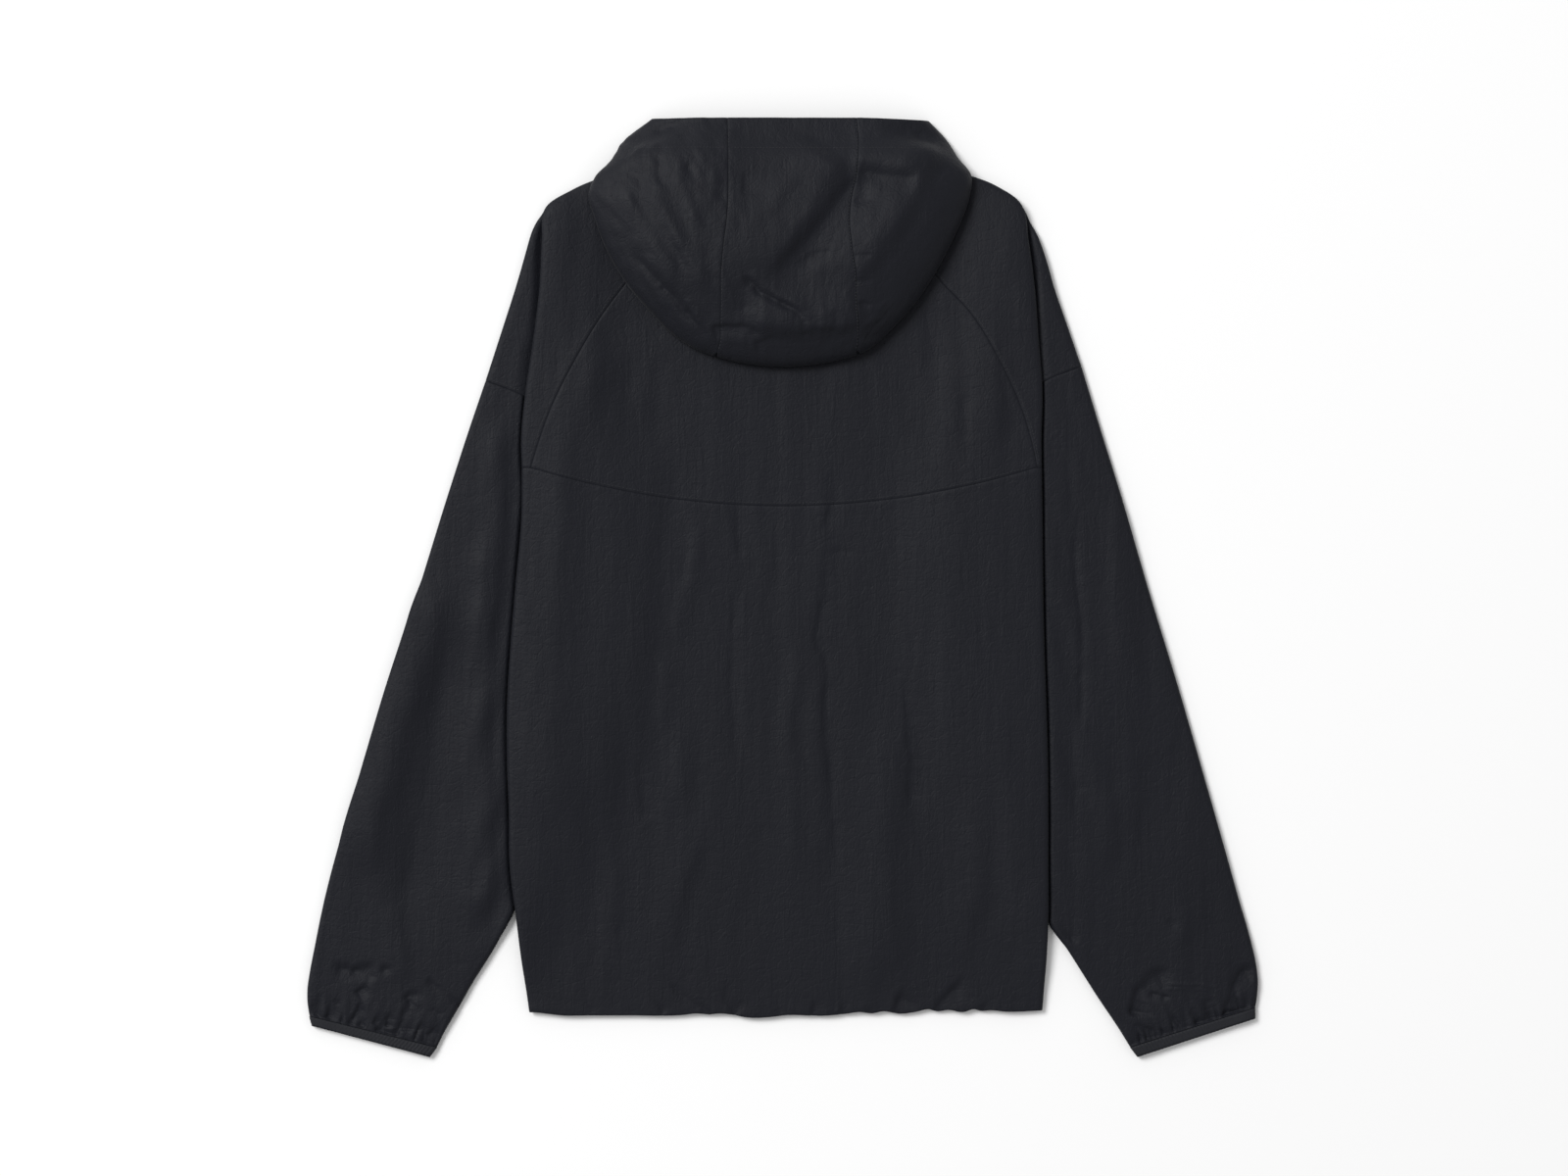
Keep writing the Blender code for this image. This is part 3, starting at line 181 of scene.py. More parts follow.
# ---- creases
# Height, half width on the left and on the right of the line as it is followed, fade at its start and at its
# end, then the line's points. A trough has a height below zero, and a steep side is a narrow one. The number
# of a row picks how its crease wanders, so the rows stay in this order.
HOOD_CREASES = (
    (4.2, 58, 44, 50, 20, (-52, 222), (-60, 290), (-68, 340), (-76, 392)),
    (4.1, 34, 13, 44, 14, (-24, 248), (-9, 278), (12, 306), (28, 328), (50, 360)),
    (-3.0, 7, 8, 40, 12, (-12, 246), (5, 272), (27, 297), (44, 319), (63, 345)),
    (1.8, 20, 10, 14, 16, (54, 362), (80, 360), (99, 355), (118, 349)),
    (-2.8, 6, 12, 8, 14, (60, 344), (80, 343), (99, 340), (116, 340)),
    (-1.7, 2.2, 2.6, 14, 8, (-125, 278), (-111, 264), (-90, 241), (-71, 216)),
    (1.1, 8, 3, 14, 8, (-121, 279), (-107, 265), (-86, 242), (-67, 217)),
    (-2.4, 2.6, 3.4, 14, 8, (-36, 261), (-20, 247), (-4, 238), (13, 229), (22, 220)),
    (0.7, 7, 3, 14, 8, (-30, 264), (-15, 251), (2, 241), (18, 233), (26, 224)),
    (-1.8, 2.0, 3.2, 6, 10, (-62, 216), (-45, 218), (-28, 217), (-14, 210)),
    (0.5, 5, 7, 8, 8, (-56, 206), (-40, 208), (-24, 206)),
    (-1.6, 2.4, 3, 5, 6, (-26, 203), (-14, 206), (-6, 212)),
    (1.3, 4, 3, 12, 14, (-61, 312), (-59, 335), (-58, 360)),
    (-0.9, 2.5, 3, 8, 8, (-53, 318), (-51, 335), (-52, 354)),
    (-1.1, 2.2, 3, 8, 8, (-34, 324), (-33, 337), (-34, 350)),
    (-1.0, 2, 3, 4, 4, (-89, 375), (-81, 379), (-73, 382)),
    (2.0, 9, 6, 20, 20, (-86, 250), (-104, 276), (-122, 305), (-134, 342)),
    (1.5, 7, 6, 18, 18, (-62, 243), (-79, 279), (-97, 309), (-113, 346)),
    (1.1, 5, 5, 14, 14, (-70, 297), (-82, 330), (-90, 363)),
    (-1.0, 3, 3, 12, 12, (-78, 262), (-93, 288), (-108, 318)),
    (-0.9, 2.5, 2.5, 10, 10, (-100, 330), (-104, 350), (-100, 368)),
    (0.9, 3, 3, 8, 8, (-118, 356), (-108, 366), (-96, 371)),
    (0.8, 3, 3, 8, 8, (-130, 352), (-122, 362), (-112, 372)),
    (-0.9, 2.4, 2.4, 8, 8, (-84, 346), (-76, 354), (-72, 366)),
    (3.8, 26, 10, 26, 12, (50, 250), (66, 271), (83, 293), (101, 319), (114, 345), (124, 374)),
    (-1.0, 1.8, 2.2, 6, 8, (66, 205), (78, 220), (92, 238)),
    (-0.9, 1.8, 2.0, 5, 6, (74, 206), (84, 218), (94, 230)),
    (0.9, 3, 2.5, 6, 8, (61, 209), (74, 225), (88, 243)),
    (-1.0, 1.8, 2.2, 3, 5, (61, 236), (68, 238), (76, 237)),
    (-0.8, 1.6, 2.0, 3, 5, (59, 256), (68, 257), (78, 256)),
    (-0.8, 1.6, 2.0, 3, 5, (57, 276), (67, 277), (76, 275)),
    (-0.9, 1.6, 2.0, 3, 5, (58, 322), (67, 324), (74, 321)),
    (0.8, 2.5, 2.5, 6, 6, (104, 372), (107, 380), (105, 387)),
    (-0.7, 2, 2, 6, 6, (110, 370), (113, 378), (111, 385)),
    (3.4, 20, 8, 20, 16, (-34, 224), (-10, 223), (20, 219), (48, 220), (72, 226)),
    (-1.6, 6, 7, 20, 16, (-18, 208), (8, 204), (34, 203), (58, 207)),
    (-1.4, 3, 4, 8, 10, (14, 207), (26, 215), (40, 214), (54, 207)),
    (-0.9, 2.2, 2.2, 6, 6, (38, 212), (42, 224), (41, 236)),
    (0.8, 3, 3, 8, 8, (30, 210), (33, 224), (31, 240)),
    (-0.7, 2.0, 2.0, 5, 5, (14, 208), (16, 220), (14, 228)),
    (0.6, 10, 8, 14, 14, (-30, 295), (-10, 320), (5, 350)),
    (-0.8, 6, 8, 12, 12, (-8, 300), (8, 322), (22, 345)),
    (-1.1, 4, 6, 10, 10, (-38, 258), (-33, 240), (-30, 226)),
    (0.4, 6, 5, 12, 12, (16, 256), (28, 266), (48, 271)),
    (-0.7, 3, 4, 10, 10, (10, 268), (26, 277), (50, 282)),
)
BODY_CREASES = (
    (
        2.9, 20, 21, 50, 60,
        (-193, -206), (-199, -99), (-196, -41), (-194, 33), (-187, 99), (-171, 148), (-160, 231),
    ),
    (0.9, 5, 12, 20, 26, (-80, -12), (-78, 14), (-73, 40), (-77, 70)),
    (0.7, 5, 9, 20, 20, (-88, -50), (-88, -30), (-85, -5), (-86, 14)),
    (0.9, 6, 12, 24, 26, (-98, -130), (-102, -105), (-100, -75), (-99, -46)),
    (0.8, 6, 11, 30, 26, (-96, -190), (-88, -165), (-90, -130), (-94, -104)),
    (-0.45, 2, 3, 20, 24, (-41, -148), (-44, -90), (-43, -40), (-42, 12)),
    (-0.5, 2, 3, 14, 20, (-36, 20), (-40, 52), (-38, 90)),
    (
        -0.65, 2.2, 3.4, 60, 60,
        (38, -260), (42, -214), (38, -148), (34, -116), (36, -65), (27, -45), (30, -25), (35, 9), (32, 60),
    ),
    (1.1, 13, 7, 90, 90, (26, -270), (30, -210), (28, -140), (24, -60), (22, 0), (22, 50)),
    (-0.6, 2.5, 3, 12, 16, (32, 44), (40, 75), (38, 110)),
    (2.3, 26, 14, 50, 110, (84, -345), (88, -280), (90, -206), (94, -132), (93, -74)),
    (-0.9, 3, 5, 30, 40, (104, -200), (107, -148), (103, -101), (102, -59)),
    (2.0, 20, 12, 60, 70, (146, -325), (156, -275), (160, -225), (158, -160)),
    (1.4, 16, 8, 60, 70, (-104, -325), (-94, -285), (-85, -247), (-74, -218), (-64, -175)),
    (-0.8, 2.5, 3.5, 6, 10, (-118, -196), (-120, -165), (-122, -140)),
    (-1.2, 1.8, 2.2, 2, 8, (-101, -359), (-105, -352), (-110, -344)),
    (-1.4, 2.0, 2.6, 2, 10, (-60, -360), (-78, -349), (-90, -338), (-98, -327)),
    (-1.1, 2.0, 3.0, 2, 8, (-40, -360), (-46, -350), (-49, -342), (-44, -328)),
    (-1.8, 2.6, 3.4, 2, 10, (92, -360), (97, -346), (103, -332)),
    (-1.7, 1.7, 2.0, 2, 10, (126, -361), (131, -349), (140, -339), (147, -332), (154, -323)),
    (-1.4, 1.6, 2.0, 2, 5, (162, -361), (167, -353), (174, -346)),
    (-1.0, 2, 2.4, 2, 5, (70, -360), (73, -354), (77, -350)),
    (-0.8, 2, 2.4, 2, 6, (24, -360), (26, -352), (25, -344)),
    (-0.8, 2, 2.4, 2, 6, (48, -360), (51, -351), (56, -344)),
    (-0.8, 2, 2, 2, 5, (-160, -358), (-163, -352), (-168, -347)),
    (-0.5, 1.6, 1.8, 4, 4, (-140, -296), (-138, -286), (-141, -276)),
    (-0.7, 2.0, 3.0, 18, 18, (152, 98), (151, 130), (149, 160), (147, 186)),
    (0.5, 12, 10, 30, 30, (176, 110), (178, 150), (172, 200)),
    (-0.8, 8, 10, 26, 26, (186, 112), (190, 150), (184, 196)),
    (-0.7, 8, 9, 22, 24, (128, 175), (124, 215), (120, 245)),
    (0.7, 8, 8, 30, 30, (-120, 130), (-112, 180), (-104, 225)),
    (-0.6, 8, 8, 30, 30, (-140, 90), (-132, 150), (-128, 200)),
    (-0.7, 2.5, 3, 5, 6, (-193, 300), (-196, 308), (-199, 315)),
    (1.0, 7, 9, 24, 24, (196, 262), (203, 236), (209, 205)),
    (-0.5, 1.6, 1.8, 6, 6, (38, 30), (48, 32), (64, 29)),
    (-0.45, 1.4, 1.6, 4, 4, (102, -70), (92, -70), (86, -69)),
    (-0.45, 1.4, 1.6, 4, 4, (94, -148), (84, -146), (78, -147)),
    (-0.45, 1.4, 1.6, 4, 4, (82, 24), (88, 25), (93, 24)),
    (0.6, 9, 9, 40, 40, (8, -250), (4, -150), (6, -40)),
    (-0.5, 8, 8, 40, 40, (-24, -300), (-20, -240), (-22, -180)),
    (0.7, 10, 9, 30, 40, (-142, -300), (-148, -200), (-150, -110)),
)
SLEEVE_CREASES_LEFT = (
    (
        4.2, 22, 16, 50, 50,
        (-351, -250), (-343, -189), (-335, -153), (-325, -119), (-313, -81), (-304, -44), (-283, 20),
    ),
    (
        3.4, 21, 10, 40, 50,
        (-262, -290), (-251, -247), (-247, -206), (-251, -132), (-248, -66), (-243, 0), (-237, 66),
        (-233, 150),
    ),
    (-1.8, 16, 24, 40, 50, (-316, -300), (-308, -240), (-303, -189), (-296, -130), (-288, -75), (-275, -20)),
    (0.5, 4, 4, 20, 20, (-268, -120), (-262, -60), (-254, 0), (-248, 60)),
    (-0.9, 10, 8, 20, 20, (-318, -270), (-302, -200), (-290, -120), (-282, -60)),
    (1.2, 14, 7, 16, 20, (-318, -335), (-322, -300), (-330, -262)),
    (-2.0, 2.0, 1.8, 10, 6, (-381, -316), (-363, -320), (-350, -318), (-341, -313)),
    (-1.6, 1.5, 1.8, 4, 5, (-365, -320), (-350, -325), (-339, -326)),
    (-1.6, 1.5, 1.7, 4, 4, (-340, -319), (-333, -320), (-326, -320)),
    (-1.7, 1.8, 2.2, 4, 5, (-361, -342), (-354, -337), (-349, -331)),
    (-1.6, 1.5, 1.8, 2, 5, (-363, -364), (-358, -355), (-354, -346)),
    (-2.1, 2.6, 2.2, 5, 5, (-321, -346), (-312, -342), (-301, -343)),
    (-2.2, 2.9, 2.2, 2, 5, (-319, -373), (-318, -358), (-314, -344)),
    (-1.6, 1.5, 1.8, 6, 2, (-301, -328), (-284, -342), (-269, -354)),
    (-1.6, 1.5, 1.7, 2, 5, (-334, -370), (-333, -362), (-331, -354)),
    (-1.6, 1.5, 1.7, 2, 5, (-345, -368), (-343, -362), (-340, -356)),
    (-1.6, 1.5, 1.7, 2, 5, (-309, -376), (-306, -368), (-303, -362)),
    (-1.6, 1.5, 1.7, 2, 5, (-299, -377), (-294, -371), (-289, -365)),
    (-1.0, 1.8, 2.0, 3, 3, (-379, -345), (-375, -348), (-371, -352)),
    (-0.9, 1.8, 2.0, 3, 3, (-296, -353), (-291, -357), (-287, -362)),
    (-0.8, 6, 5, 12, 12, (-262, -262), (-256, -240), (-252, -215)),
)
SLEEVE_CREASES_RIGHT = (
    (-0.8, 1.6, 2.2, 26, 20, (248, -124), (250, -59), (249, -30), (245, 7), (244, 35), (249, 72)),
    (0.4, 6, 5, 26, 20, (240, -110), (242, -50), (237, 10), (238, 60)),
    (-0.8, 2.0, 2.4, 5, 5, (245, -174), (247, -166), (249, -159)),
    (0.9, 10, 10, 30, 30, (290, -80), (286, -50), (279, 33), (270, 80)),
    (0.7, 12, 10, 24, 24, (271, -245), (277, -200), (281, -160)),
    (-0.7, 10, 10, 24, 24, (300, -230), (308, -180), (312, -130)),
    (-1.4, 2.0, 2.6, 8, 3, (249, -299), (237, -291), (230, -281)),
    (-0.9, 2.0, 2.4, 4, 4, (323, -285), (326, -281), (328, -276)),
    (-2.2, 2.9, 2.2, 6, 8, (292, -362), (294, -350), (299, -338), (310, -326), (330, -320)),
    (0.5, 1.4, 1.4, 8, 8, (320, -333), (347, -333), (367, -336)),
    (0.4, 1.2, 1.2, 8, 8, (318, -337), (345, -337), (362, -339)),
    (-1.6, 1.5, 1.8, 4, 4, (307, -339), (316, -343), (326, -343)),
    (-2.2, 2.9, 2.2, 2, 5, (361, -366), (356, -352), (352, -342)),
    (-2.3, 3.0, 2.4, 2, 8, (370, -366), (374, -348), (380, -332), (387, -322), (400, -319)),
    (-1.6, 1.5, 1.7, 2, 5, (340, -374), (330, -366), (325, -356)),
    (-1.6, 1.5, 1.7, 2, 5, (349, -371), (344, -360), (342, -352)),
    (-1.6, 1.5, 1.7, 2, 5, (326, -379), (318, -373), (311, -369)),
    (-1.6, 1.5, 1.8, 2, 3, (395, -360), (396, -348), (404, -343)),
    (-1.2, 1.8, 2.4, 6, 3, (292, -366), (303, -369), (314, -373)),
    (-1.1, 1.8, 2.2, 4, 3, (296, -374), (304, -378), (312, -379)),
    (0.8, 8, 8, 20, 20, (330, -310), (336, -290), (340, -262)),
    (-0.6, 7, 7, 20, 20, (360, -300), (362, -270), (358, -235)),
)
SLEEVE_CREASES = {-1: SLEEVE_CREASES_LEFT, 1: SLEEVE_CREASES_RIGHT}


# ---- heights of the layers
def ease(t):
    t = np.clip(t, 0, 1)
    return t * t * (3 - 2 * t)


def dome(distance, reach):
    s = np.clip(distance / reach, 0, 1)
    return np.sqrt(1 - (1 - s) ** 2)


def loft(distance, reach):
    return 0.55 * dome(distance, ROUNDING) + 0.45 * dome(distance, reach)


def name_of(side):
    return "left" if side < 0 else "right"


def by_side(table, x, value):
    return np.where(np.asarray(x) < 0, table.at("left", value), table.at("right", value))


def nearest(line, x, y):
    """Distance of each point from a line, how far along the line that is, and whether it is on its left."""
    x, y = np.asarray(x, float)[..., None], np.asarray(y, float)[..., None]
    start, along = line[:-1], line[1:] - line[:-1]
    length = np.hypot(*along.T)
    px, py = x - start[:, 0], y - start[:, 1]
    t = np.clip((px * along[:, 0] + py * along[:, 1]) / length**2, 0, 1)
    distance = np.hypot(px - t * along[:, 0], py - t * along[:, 1])
    best = distance.argmin(-1)[..., None]
    travelled = np.concatenate([[0], length.cumsum()[:-1]])
    reach = np.take_along_axis(travelled + t * length, best, -1)[..., 0]
    left = np.take_along_axis(along[:, 0] * py - along[:, 1] * px, best, -1)[..., 0] > 0
    return np.take_along_axis(distance, best, -1)[..., 0], reach, left


def distance_to(line, x, y):
    return nearest(line, x, y)[0]


def travelled_along(grid, axis):
    """Length travelled along each row of a grid of points, or along each column for axis 0."""
    steps = np.linalg.norm(np.diff(grid, axis=axis), axis=2)
    return np.insert(steps.cumsum(axis), 0, 0, axis)


def body_outline(side):
    name = name_of(side)
    heights = np.linspace(HEM_Y - 20, APEX_Y - 4, 40)
    edge = np.column_stack([side * BODY_EDGE.at(name, heights), heights])
    reach = np.linspace(BODY_EDGE.at(name, APEX_Y) + 1, NECK_X - 4, 30)
    return np.vstack([edge, np.column_stack([side * reach, SHOULDER_LINE.at(name, reach)])])


BODY_OUTLINES = {side: body_outline(side) for side in (-1, 1)}


def inside_body(x, y):
    near = np.minimum(*(distance_to(line, x, y) for line in BODY_OUTLINES.values()))
    outside = (np.abs(x) > by_side(BODY_EDGE, x, y)) | (y > by_side(SHOULDER_LINE, x, np.abs(x)))
    return np.where(outside, 0, near)


def sleeve_inner(x, y):
    reach = []
    for name, table in (("left", SLEEVE_LEFT), ("right", SLEEVE_RIGHT)):
        order = np.argsort(table.column("inner_y"))
        below = np.interp(y, table.column("inner_y")[order], table.column("inner_x")[order])
        reach.append(np.where(np.asarray(y) > UNDERARM_Y, TUCK.at(name, y), below))
    return np.where(np.asarray(x) < 0, *reach)


def back_base(x, y):
    raised = ease(1 - (sleeve_inner(x, y) - np.abs(x)) / RAISED_RAMP) * ease((RAISED_TOP - y) / RAISED_FADE)
    return FLOOR + (BODY_OVER_SLEEVE - FLOOR) * raised + FOLD_RISE


def back_z(x, y):
    return back_base(x, y) + LOFT * loft(inside_body(x, y), LOFT_REACH)


def front_z(x, y):
    inward = np.maximum(sleeve_inner(x, np.minimum(y, UNDERARM_Y)) - np.abs(x), 0)
    away = np.hypot(inward, np.maximum(y - UNDERARM_Y, 0) * CLIMB_ABOVE)
    return FLOOR + (BODY_OVER_SLEEVE - FLOOR) * ease(1 - (away - CLIMB_MARGIN) / CLIMB_RAMP)


def under_fold(low, edge, distance):
    return low + (edge - low) * (1 - dome(distance, FOLD_REACH))


def beyond_body(side, x, y):
    """Distance from the body's edge, or 0 inside it."""
    return distance_to(BODY_OUTLINES[side], x, y) * (np.abs(x) > BODY_EDGE.at(name_of(side), y))


def sleeve_free(side, x, y):
    """0 where the body lies on the sleeve, and 1 well clear of it."""
    return ease((beyond_body(side, x, y) - PRESSED_MARGIN) / PRESSED_RAMP)


def sleeve_z(side, x, y, from_fold):
    free = sleeve_free(side, x, y)
    top = PRESSED_SLEEVE + (FLOOR + FOLD_RISE + LOFT - PRESSED_SLEEVE) * free
    edge = FLOOR + (top - FLOOR) * (0.5 + 0.066 * free)
    reach = PRESSED_SLEEVE - edge + 0.5 + (LOFT_REACH - 2) * free
    return edge + (top - edge) * loft(from_fold, reach)


def hood_under_z(x, y):
    line = by_side(SHOULDER_LINE, x, np.abs(x))
    on_body = back_base(x, np.minimum(y, line)) + LOFT + HOOD_ABOVE_BACK
    return on_body + (FLOOR - on_body) * ease((y - line - HOOD_DROP) / HOOD_RAMP)


def hood_bottom(u):
    left, right = HOOD_LEFT.rows[-1], HOOD_RIGHT.rows[-1]
    x = -left[1] + HOOD_SEAM / 2 + (left[1] + right[1] - HOOD_SEAM) * u
    y = left[2] + (right[2] - left[2]) * u - HOOD_BOTTOM
    return x, y - HOOD_SAG * (1 - (2 * u - 1) ** 2)


def hood_outline():
    rows = np.linspace(0, 11, 40)
    left = np.column_stack([-HOOD_LEFT.at("outer_x", rows), HOOD_LEFT.at("outer_y", rows)])
    right = np.column_stack([HOOD_RIGHT.at("outer_x", rows), HOOD_RIGHT.at("outer_y", rows)])
    return np.vstack([left, np.column_stack(hood_bottom(np.linspace(0, 1, 12))), right[::-1]])


HOOD_OUTLINE = hood_outline()


def hood_edge_z(x, y):
    return hood_under_z(x, y) + FOLD_RISE


def hood_z(x, y):
    inside = distance_to(HOOD_OUTLINE, x, y)
    height = HOOD_LOFT_RIM + (HOOD_LOFT - HOOD_LOFT_RIM) * ease((RIM_Y - y) / HOOD_FILL)
    return hood_edge_z(x, y) + height * dome(inside, HOOD_REACH)


# ---- creases and crumples
FAR_WALL = np.array([0.81, -0.59])      # folds lean this way: a trough's wall on this side is the gentler one
GENTLE, GENTLEST = 1.6, 4.5             # how much wider that wall is, and at most on a long sharp trough
SHARP_DEPTH, SHARP_WIDTH = 1, 3         # a sharp trough is deeper and narrower than these
CREASE_SEED = 700


def lean(height, left_width, right_width, run):
    """Half widths of a crease that runs along run, with the far wall of a trough made gentler."""
    if height > 0:
        return left_width, right_width
    leftwards = (run[0] * FAR_WALL[1] - run[1] * FAR_WALL[0]) / np.hypot(*run)
    gentle = GENTLE
    if height < -SHARP_DEPTH and min(left_width, right_width) < SHARP_WIDTH:
        gentle = min(0.6 + np.hypot(*run) / 10, GENTLEST)
    return left_width * (1 + gentle * max(leftwards, 0)), right_width * (1 + gentle * max(-leftwards, 0))


def creases_height(creases, x, y):
    """Sum of the creases at each point. Each runs along its own smooth line, wanders a little and varies."""
    total = np.zeros(x.shape)
    for number, (height, left_width, right_width, fade_in, fade_out, *points) in enumerate(creases):
        points = np.array(points, float)
        left_width, right_width = lean(height, left_width, right_width, points[-1] - points[0])
        places = np.arange(len(points))
        line = hermite(places, points, np.linspace(0, len(points) - 1, 5 * len(points)))
        margin = 3 * max(left_width, right_width)
        low, high = line.min(0) - margin, line.max(0) + margin
        near = (x > low[0]) & (x < high[0]) & (y > low[1]) & (y < high[1])
        if not near.any():
            continue
        distance, reach, left = nearest(line, x[near], y[near])
        length = np.hypot(*np.diff(line, axis=0).T).sum()
        narrow = min(left_width, right_width)
        ragged = ease((6 - narrow) / 3)
        row = np.full(reach.shape, 3.0 * number)
        across = np.where(left, -distance, distance)
        across = across + 0.45 * ragged * noise(reach / 3.2, distance / 4, CREASE_SEED + 3)
        across += (0.35 + 0.35 * narrow) * noise(reach / (2.2 * narrow + 3), row, CREASE_SEED)
        fade = ease(reach / fade_in) * ease((length - reach) / (fade_out * (1 + 0.7 * ragged)))
        width = np.where(across < 0, left_width, right_width) * (1 - 0.6 * ragged * (1 - fade))
        vary = 1 + (0.25 + 0.35 * ragged) * noise(reach / (2 * narrow + 5), row, CREASE_SEED + 1)
        vary += 0.3 * ragged * noise(reach / 4, row, CREASE_SEED + 2)
        total[near] += height * vary * np.exp(-((across / width) ** 2)) * fade
    return total


def noise(x, y, seed):
    """Smooth value noise from -1 to 1, with one random value at each whole x and y."""
    x, y = np.asarray(x, float) + 1000.5, np.asarray(y, float) + 1000.5
    i, j = np.floor(x).astype(int), np.floor(y).astype(int)
    values = np.random.default_rng(seed).uniform(-1, 1, (256, 256))
    u, v = ease(x - i), ease(y - j)
    corner = {(a, b): values[(i + a) % 256, (j + b) % 256] for a in (0, 1) for b in (0, 1)}
    low = corner[0, 0] * (1 - u) + corner[1, 0] * u
    high = corner[0, 1] * (1 - u) + corner[1, 1] * u
    return low * (1 - v) + high * v


def crinkle(x, y, seed):
    """Fine uneven relief of thin nylon: soft bands and streaks along the grain, and small dents."""
    sway = x + 5 * noise(x / 60, y / 45, seed + 5)
    bands = noise(sway / 13, y / 120, seed) + 0.6 * noise(sway / 23, y / 170, seed + 1)
    streaks = noise(sway / 5.5, y / 30, seed + 3)
    dents = noise(x / 6, y / 8, seed + 2)
    return 0.36 * bands + 0.06 * streaks + 0.06 * dents


def crumple(x, y, seed):
    """Coarser crumples of the hood, which lean outwards as they go up."""
    lean = 0.65 * np.sign(x) * ease(np.abs(x) / 60)
    u, v = x - lean * (y - 300), y + lean * x
    folds = noise(u / 5.5, v / 26, seed) + 0.5 * noise(u / 3.4, v / 14, seed + 1)
    dents = noise(u / 9, v / 12, seed + 2)
    return 0.40 * folds + 0.3 * dents


# ---- coarse grids, row by row as in the CAD source
EDGE_STEPS = np.array([0.0, 0.6, 2.2, 5.5, 12.0])
UNDER_STEPS = np.array([0.5, 1.6, 3.6, 9.0])
BODY_SHARES = np.array([0, 0.03, 0.1, 0.18, 0.27, 0.36, 0.46, 0.57, 0.68, 0.79, 0.9, 1])
RAGLAN_LEVELS = (101, 120, 150, 190, 230, 262, 285, 306, 318, 329, 341)
OVER_SLEEVE_ROWS = Table(
    "level edge_y",
    (101, 101), (120, 124), (150, 162), (190, 210), (230, 256), (262, 292),
)
SHOULDER_ROWS = Table(
    "level edge_x",
    (285, 200), (306, 178), (318, 152), (329, 127), (341, 107), (353, 95),
)
CAP_SHARES = np.array([0.1, 0.22, 0.36, 0.5, 0.64, 0.78])
FRONT_SHARES = np.array([0, 0.2, 0.38, 0.55, 0.7, 0.82, 0.92, 1])
SEAM_WIDTH = RAGLAN_BACK.at("left", UNDERARM_Y) + RAGLAN_BACK.at("right", UNDERARM_Y)
HEM_WAVE_FADE = 14


def stack(x, y, z):
    return np.stack(np.broadcast_arrays(x, y, z), -1).astype(float)


def mirrored(rows, side):
    """Rows in the order that keeps a left piece's faces pointing out, as its mirror image's do."""
    return [row[::-1] for row in rows] if side < 0 else rows


def fitted(steps, room):
    """Steps in from an edge, closer together where there is little room for them."""
    return steps * min(1, room / steps[-1])


def yoke_sag(x):
    return YOKE_SAG * np.clip(1 - (np.asarray(x) / RAGLAN_BACK.at("left", UNDERARM_Y)) ** 2, 0, 1)


def hem_y(x):
    """The hem is a little higher on the right, and at its left end."""
    x = np.asarray(x)
    return HEM_Y - 2.0 + 3.0 * ease((x - 20) / 90) + 2.5 * ease((-x - 185) / 25)


def hem_wave(x, y):
    """The small steps of the hem, which fade out upwards."""
    return HEM_WAVE.at("lift", x) * ease(1 - (y - hem_y(x)) / HEM_WAVE_FADE)


def body_row_y(x, share, top):
    bottom = hem_y(x)
    return bottom + (top - SEAM - bottom) * share


def side_fold(side, share):
    return BODY_EDGE.at(name_of(side), HEM_Y + (UNDERARM_Y - HEM_Y) * share)


def back_panel_grid():
    """Columns: in under the left side to the fold, over the top, and in under the right side."""
    wrap = np.concatenate([UNDER_STEPS, SIDE_WRAP * np.array([0.44, 0.72, 1])])
    rows = []
    for share in BODY_SHARES:
        left, right = side_fold(-1, share), side_fold(1, share)
        inner = np.linspace(-left + 2.2 * EDGE_STEPS[-1], right - 2.2 * EDGE_STEPS[-1], 17)
        x = np.concatenate([-left + EDGE_STEPS, inner, (right - EDGE_STEPS)[::-1]])
        y = body_row_y(x, share, UNDERARM_Y - yoke_sag(x))
        row = [stack(x, y, back_z(x, y))]
        for side, edge in ((-1, left), (1, right)):
            x = side * (edge - wrap)
            y = body_row_y(x, share, UNDERARM_Y)
            edge_z = back_base(side * edge, y)
            row.append(stack(x, y, under_fold(front_z(x, y), edge_z, wrap)))
        rows.append(np.concatenate([row[1][::-1], row[0], row[2]]))
    return np.array(rows)


def back_yoke_grid():
    u = np.linspace(0, 1, 15)
    rows = []
    for level in RAGLAN_LEVELS:
        share = (level - UNDERARM_Y) / (NECK_CORNER_Y - UNDERARM_Y)
        left, right = RAGLAN_BACK.at("left", level) - SEAM / 2, RAGLAN_BACK.at("right", level) - SEAM / 2
        x = -left + (left + right) * u
        neck = (NECK_CORNER_Y - BACK_NECK_Y) * (1 - np.abs(2 * u - 1) ** BACK_NECK_POWER)
        y = level - (1 - share) * yoke_sag(x * SEAM_WIDTH / (left + right)) - share * neck
        rows.append(stack(x, y, back_z(x, y)))
    return np.array(rows)


def front_neck_y(x):
    return FRONT_NECK_Y + (NECK_Y - FRONT_NECK_Y) * (np.abs(x) / NECK_X) ** FRONT_NECK_POWER


def neck_x(y, lowest, power):
    return NECK_X * ((y - lowest) / (NECK_Y - lowest)) ** (1 / power)


